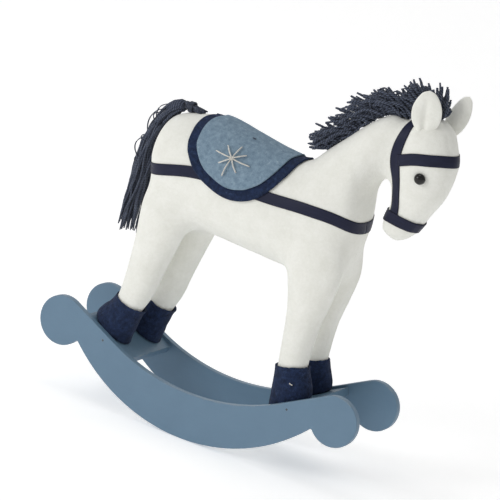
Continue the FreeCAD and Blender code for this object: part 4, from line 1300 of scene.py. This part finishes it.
def make_fibre_group():
    """Short matted fibres: noise stretched three ways at once, the highest of the three taken, and a
    finer grain on top."""
    graph, given, gives = new_group(
        "fibres", [("Place", "vector", None), ("Scale", "float", 900.0), ("Length", "float", 4.0)],
        [("Height", "float"), ("Fleck", "float")])
    layers = []
    for turn in ((0.0, 0.0, 0.4), (1.2, 0.3, 1.5), (0.4, 1.3, 2.6)):
        turned = graph.node("ShaderNodeVectorRotate", {"rotation_type": "EULER_XYZ"}, Vector=given["Place"],
                            Rotation=turn)
        stretched = graph.node("ShaderNodeCombineXYZ", Y=1.0, Z=1.0)
        graph.join(stretched.inputs["X"], graph.math("DIVIDE", 1.0, given["Length"]))
        scaled = graph.node("ShaderNodeVectorMath", {"operation": "MULTIPLY"})
        graph.join(scaled.inputs[0], turned.outputs[0])
        graph.join(scaled.inputs[1], stretched.outputs[0])
        layers.append(graph.noise(scaled.outputs[0], given["Scale"], 2.0, 0.6, 0.6))
    highest = graph.math("MAXIMUM", graph.math("MAXIMUM", layers[0], layers[1]), layers[2])
    grain = graph.noise(given["Place"], graph.math("MULTIPLY", given["Scale"], 2.5), 2.0, 0.6)
    graph.join(gives["Height"], graph.math("MULTIPLY_ADD", grain, 0.35, highest))
    graph.join(gives["Fleck"], graph.ramp(highest, 0.60, 0.80))
    return graph.tree


def make_rubbed_and_highlit_edges_group():
    """Edges for rubbed paint and a painted highlight: a soft bevel normal compared with the true one
    marks the edges, and noise breaks the mark up."""
    graph, given, gives = new_group(
        "rubbed_and_highlit_edges", [("Place", "vector", None), ("Reach", "float", 0.0012), ("Amount", "float", 0.5)],
        [("Mask", "float")])
    bevel = graph.node("ShaderNodeBevel", {"samples": 4})
    graph.join(bevel.inputs["Radius"], given["Reach"])
    true = graph.node("ShaderNodeNewGeometry")
    across = graph.node("ShaderNodeVectorMath", {"operation": "DOT_PRODUCT"})
    graph.join(across.inputs[0], bevel.outputs[0])
    graph.join(across.inputs[1], true.outputs["True Normal"])
    edge = graph.ramp(across.outputs["Value"], 0.995, 0.80)
    broken = graph.ramp(graph.noise(given["Place"], 140.0, 5.0, 0.65), 0.42, 0.62)
    graph.join(gives["Mask"], graph.math("MULTIPLY", graph.math("MULTIPLY", edge, broken), given["Amount"]))
    return graph.tree


MOTTLE, FIBRES, RUBBED_AND_HIGHLIT_EDGES = make_mottle_group(), make_fibre_group(), make_rubbed_and_highlit_edges_group()


def new_material(name, roughness, **uniform):
    """A material with one Principled shader; words for its other sockets are set straight on them."""
    material = bpy.data.materials.new(name)
    material.use_nodes = True
    graph = Graph(material.node_tree)
    shader = material.node_tree.nodes["Principled BSDF"]
    shader.inputs["Roughness"].default_value = roughness
    for word, value in uniform.items():
        shader.inputs[word.replace("_", " ")].default_value = value
    place = graph.node("ShaderNodeTexCoord").outputs["Object"]
    return material, graph, shader, place


def placed(graph, group, **inputs):
    """One of the shared groups inside a material, with its own values."""
    made = graph.node("ShaderNodeGroup", {"node_tree": group})
    for word, value in inputs.items():
        graph.join(made.inputs[word], value)
    return made.outputs


def bump(graph, shader, height, distance, strength=1.0):
    """Feeds a height into the shader's normal."""
    made = graph.node("ShaderNodeBump", Height=height, Distance=distance, Strength=strength)
    graph.join(shader.inputs["Normal"], made.outputs["Normal"])
    return made


# %% [markdown]
# ### Brushed white cotton
# The cloth is a warm white flannel: almost no shine, a soft nap that catches light at grazing angles,
# faint clouds where the nap lies differently, and slightly greyer lines in the seams.

# %% White cloth
def make_white_cloth():
    """Napped cotton: clouded warm white, pale flecks, and a nap and weave in the bump."""
    material, graph, shader, place = new_material("white_cloth", 0.95, Sheen_Weight=0.25, Sheen_Roughness=0.6)
    shader.inputs["Specular IOR Level"].default_value = 0.15
    cloud = placed(graph, MOTTLE, Place=place, Scale=70.0, Strength=1.6, Dark=srgb(226, 226, 217),
                   Light=srgb(243, 243, 237))
    fibre = placed(graph, FIBRES, Place=place, Scale=1100.0, Length=3.0)
    graph.join(shader.inputs["Base Color"],
               graph.mix(graph.math("MULTIPLY", fibre["Fleck"], 0.35), cloud["Color"], srgb(250, 250, 246)))
    weave = graph.noise(place, 330.0, 3.0, 0.6)
    height = graph.math("MULTIPLY_ADD", weave, 1.3, fibre["Height"])
    bump(graph, shader, height, 0.00028, 0.8)
    return material


# %% [markdown]
# ### Felt
# Felt is wool pressed into a sheet: short fibres lie every way, a few lighter ones stand out, and the
# colour is cloudy where dye took unevenly.  One recipe serves the navy and the blue-grey felt.

# %% Felt
def make_felt(name, dark, light, fleck, fleck_share, scale=260.0, depth=0.0005):
    """Pressed wool: clouded from dark to light, with matted fibres and a share of pale flecks."""
    material, graph, shader, place = new_material(name, 1.0, Sheen_Weight=0.05, Sheen_Roughness=0.7)
    shader.inputs["Specular IOR Level"].default_value = 0.1
    cloud = placed(graph, MOTTLE, Place=place, Scale=scale, Strength=2.6, Dark=dark, Light=light)
    fibre = placed(graph, FIBRES, Place=place, Scale=420.0, Length=5.0)
    graph.join(shader.inputs["Base Color"],
               graph.mix(graph.math("MULTIPLY", fibre["Fleck"], fleck_share), cloud["Color"], fleck))
    bump(graph, shader, graph.math("ADD", fibre["Height"], cloud["Mask"]), depth, 0.9)
    return material


# %% [markdown]
# ### Satin ribbon
# Satin shows long floats of thread: bright where it turns to the light and almost black elsewhere, with
# fine lines along the ribbon and a flat woven edge.  The piece's own map gives the place across it.

# %% Ribbon
def make_ribbon_satin():
    """Satin: streaks along the ribbon, darker and rougher at its woven edges."""
    material, graph, shader, place = new_material("navy_ribbon", 0.36, Anisotropic=0.5, Sheen_Weight=0.03,
                                                  Sheen_Roughness=0.35)
    shader.inputs["Specular IOR Level"].default_value = 0.16
    own = graph.node("ShaderNodeTexCoord").outputs["UV"]
    split = graph.node("ShaderNodeSeparateXYZ", Vector=own)
    across, along = split.outputs[0], split.outputs[1]
    middle = graph.math("ABSOLUTE", graph.math("SUBTRACT", across, 0.5))
    edge = graph.ramp(middle, 0.43, 0.47)
    threads = graph.math("SINE", graph.math("MULTIPLY", across, 190.0))
    picks = graph.math("SINE", graph.math("MULTIPLY", along, 150.0))
    streak = graph.noise(graph.node("ShaderNodeCombineXYZ", X=graph.math("MULTIPLY", across, 14.0),
                                    Y=graph.math("MULTIPLY", along, 0.7)).outputs[0], 1.0, 3.0)
    body = graph.mix(streak, srgb(22, 24, 40), srgb(40, 44, 68))
    edged = graph.mix(graph.math("MULTIPLY", edge, 0.75), body, srgb(19, 22, 38))
    graph.join(shader.inputs["Base Color"], edged)
    sheen = graph.math("MULTIPLY_ADD", streak, 0.12, 0.32)
    graph.join(shader.inputs["Roughness"], graph.math("MULTIPLY_ADD", edge, 0.22, sheen))
    height = graph.math("ADD", graph.math("MULTIPLY", threads, 0.10),
                        graph.math("MULTIPLY", graph.math("MULTIPLY", picks, edge), 0.5))
    bump(graph, shader, graph.math("ADD", height, graph.math("MULTIPLY", streak, 0.5)), 0.00016, 0.7)
    return material


# %% [markdown]
# ### Yarn and thread
# Two plies twist round each other: the map's stripes run slantwise round every strand, with painted
# shade dark in the groove between the plies and painted light on top, stray fibres, and some strands
# paler than others.

# %% Yarn, thread and bead
def make_yarn(name, dark, light, groove, roughness=0.9):
    """Two-ply yarn: cos(2 * turn round + turns along) gives the plies, with painted shade in the grooves and
    painted light on top.
    """
    material, graph, shader, place = new_material(name, roughness, Sheen_Weight=0.15, Sheen_Roughness=0.5)
    shader.inputs["Specular IOR Level"].default_value = 0.2
    own = graph.node("ShaderNodeTexCoord").outputs["UV"]
    split = graph.node("ShaderNodeSeparateXYZ", Vector=own)
    slant = graph.math("ADD", graph.math("MULTIPLY", split.outputs[0], 2 * math.pi * 2.0),
                       graph.math("MULTIPLY", split.outputs[1], 2 * math.pi * 0.8))
    ply = graph.math("MULTIPLY_ADD", graph.math("COSINE", slant), 0.5, 0.5)
    cloud = placed(graph, MOTTLE, Place=place, Scale=420.0, Strength=2.4, Dark=dark, Light=light)
    # the groove colour is painted shade between the plies, and the mottled colour is painted light on their tops
    graph.join(shader.inputs["Base Color"], graph.mix(graph.ramp(ply, 0.0, 0.55), groove, cloud["Color"]))
    fibre = graph.noise(place, 2600.0, 2.0)
    bump(graph, shader, graph.math("MULTIPLY_ADD", fibre, 0.4, ply), 0.0003, 0.7)
    return material


def make_bead():
    """Moulded black plastic: a glossy clear surface over faint swirls."""
    material, graph, shader, place = new_material("black_bead", 0.12, Coat_Weight=0.25, Coat_Roughness=0.05)
    shader.inputs["Specular IOR Level"].default_value = 0.3
    cloud = placed(graph, MOTTLE, Place=place, Scale=300.0, Strength=1.5, Dark=srgb(5, 5, 5),
                   Light=srgb(16, 16, 15))
    graph.join(shader.inputs["Base Color"], cloud["Color"])
    graph.join(shader.inputs["Roughness"], graph.math("MULTIPLY_ADD", cloud["Mask"], 0.12, 0.08))
    return material


# %% [markdown]
# ### Painted boards, wood and steel
# The boards are brushed with a dusty blue paint, with faint brush lines along the board and a few
# specks; their edges are lightened to grey, partly as rubbed paint and partly as a painted highlight
# on the square edges.  Dowels are plain beech, nails and screws plain steel.

# %% Paint, wood and steel
def make_paint():
    """Brushed paint: clouded blue with long brush lines, edges lightened to grey as rubbed paint and painted
    highlight, a few specks.
    """
    material, graph, shader, place = new_material("painted_board", 0.5, Coat_Weight=0.12, Coat_Roughness=0.35)
    cloud = placed(graph, MOTTLE, Place=place, Scale=16.0, Strength=1.5, Dark=srgb(86, 114, 137),
                   Light=srgb(98, 127, 150))
    long_way = graph.node("ShaderNodeVectorMath", {"operation": "MULTIPLY"})
    graph.join(long_way.inputs[0], place)
    long_way.inputs[1].default_value = (0.12, 1.0, 1.0)
    brush = graph.noise(long_way.outputs[0], 420.0, 4.0, 0.6)
    lined = graph.mix(graph.math("MULTIPLY", brush, 0.30), cloud["Color"], srgb(110, 138, 159))
    edge_wear_and_highlight = placed(graph, RUBBED_AND_HIGHLIT_EDGES, Place=place, Reach=0.0014, Amount=0.85)
    # the edges are lightened to grey: partly rubbed paint, partly a painted highlight on the square edges
    edged = graph.mix(edge_wear_and_highlight["Mask"], lined, srgb(152, 154, 148))
    speck = graph.ramp(graph.noise(place, 520.0, 1.0), 0.80, 0.83)
    specked = graph.mix(graph.math("MULTIPLY", speck, 0.6), edged, srgb(70, 88, 104))
    graph.join(shader.inputs["Base Color"], specked)
    graph.join(shader.inputs["Roughness"], graph.ramp(brush, 0.2, 0.8, 0.42, 0.60))
    height = graph.math("MULTIPLY_ADD", graph.noise(place, 900.0, 2.0), 0.25, brush)
    bump(graph, shader, height, 0.00012, 0.6)
    return material


def make_wood():
    """Plain beech: fine grain run along the dowel."""
    material, graph, shader, place = new_material("bare_wood", 0.65)
    long_way = graph.node("ShaderNodeVectorMath", {"operation": "MULTIPLY"})
    graph.join(long_way.inputs[0], place)
    long_way.inputs[1].default_value = (1.0, 1.0, 0.08)
    grain = graph.noise(long_way.outputs[0], 900.0, 4.0, 0.6, 0.4)
    graph.join(shader.inputs["Base Color"], graph.mix(grain, srgb(186, 150, 108), srgb(222, 192, 150)))
    graph.join(shader.inputs["Roughness"], graph.ramp(grain, 0.2, 0.8, 0.55, 0.75))
    bump(graph, shader, grain, 0.0001, 0.6)
    return material


def make_steel():
    """Plain steel, faintly clouded."""
    material, graph, shader, place = new_material("bare_steel", 0.4, Metallic=1.0)
    cloud = placed(graph, MOTTLE, Place=place, Scale=900.0, Strength=2.0, Dark=srgb(52, 56, 62),
                   Light=srgb(110, 114, 118))
    graph.join(shader.inputs["Base Color"], cloud["Color"])
    graph.join(shader.inputs["Roughness"], graph.ramp(cloud["Mask"], 0.2, 0.8, 0.5, 0.3))
    bump(graph, shader, cloud["Mask"], 0.00005, 0.5)
    return material


FINISHES = {
    "white_cloth": make_white_cloth(),
    "navy_felt": make_felt("navy_felt", srgb(12, 20, 38), srgb(38, 54, 88), srgb(72, 94, 128), 0.30),
    "blue_felt": make_felt("blue_felt", srgb(98, 121, 140), srgb(142, 164, 181), srgb(182, 198, 210), 0.35),
    "navy_ribbon": make_ribbon_satin(),
    # the third colour of each yarn is the painted shade in the grooves between its plies
    "navy_yarn": make_yarn("navy_yarn", srgb(64, 71, 88), srgb(96, 104, 122), srgb(30, 33, 44)),
    "white_thread": make_yarn("white_thread", srgb(232, 229, 220), srgb(250, 249, 244), srgb(176, 172, 160), 0.7),
    "black_bead": make_bead(),
    "painted_board": make_paint(),
    "bare_wood": make_wood(),
    "bare_steel": make_steel(),
}


def finish_with(thing, name):
    """Gives a piece one finish in place of whatever it had."""
    thing.data.materials.clear()
    thing.data.materials.append(FINISHES[name])


for name, piece in list(bpy.data.objects.items()):
    if "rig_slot" in piece and piece["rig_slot"] in FINISHES:
        finish_with(piece, piece["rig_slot"])

NODE_FINISHES = {"rocker_right": "painted_board", "rocker_left": "painted_board",
                 "foot_board_front": "painted_board", "foot_board_rear": "painted_board",
                 "rocker_nails": "bare_steel", "leg_screws": "bare_steel",
                 "eye_right": "black_bead", "eye_left": "black_bead"}
NODE_FINISHES.update({"leg_dowel_" + name: "bare_wood" for name in LEGS})
for name, finish in NODE_FINISHES.items():
    finish_with(frame["nodes"][name], finish)
print("finishes", len(FINISHES))


def make_floor_finish():
    """Matt white paper with the faintest grain."""
    material, graph, shader, place = new_material("studio_paper", 0.9)
    shader.inputs["Specular IOR Level"].default_value = 0.0
    grain = graph.noise(place, 60.0, 2.0)
    paper = graph.mix(grain, (0.93, 0.93, 0.93, 1.0), (0.95, 0.95, 0.95, 1.0))
    graph.join(shader.inputs["Base Color"], paper)
    shader.inputs["Emission Color"].default_value = (1.0, 1.0, 1.0, 1.0)
    shader.inputs["Emission Strength"].default_value = 0.35
    return material


floor.data.materials.append(make_floor_finish())
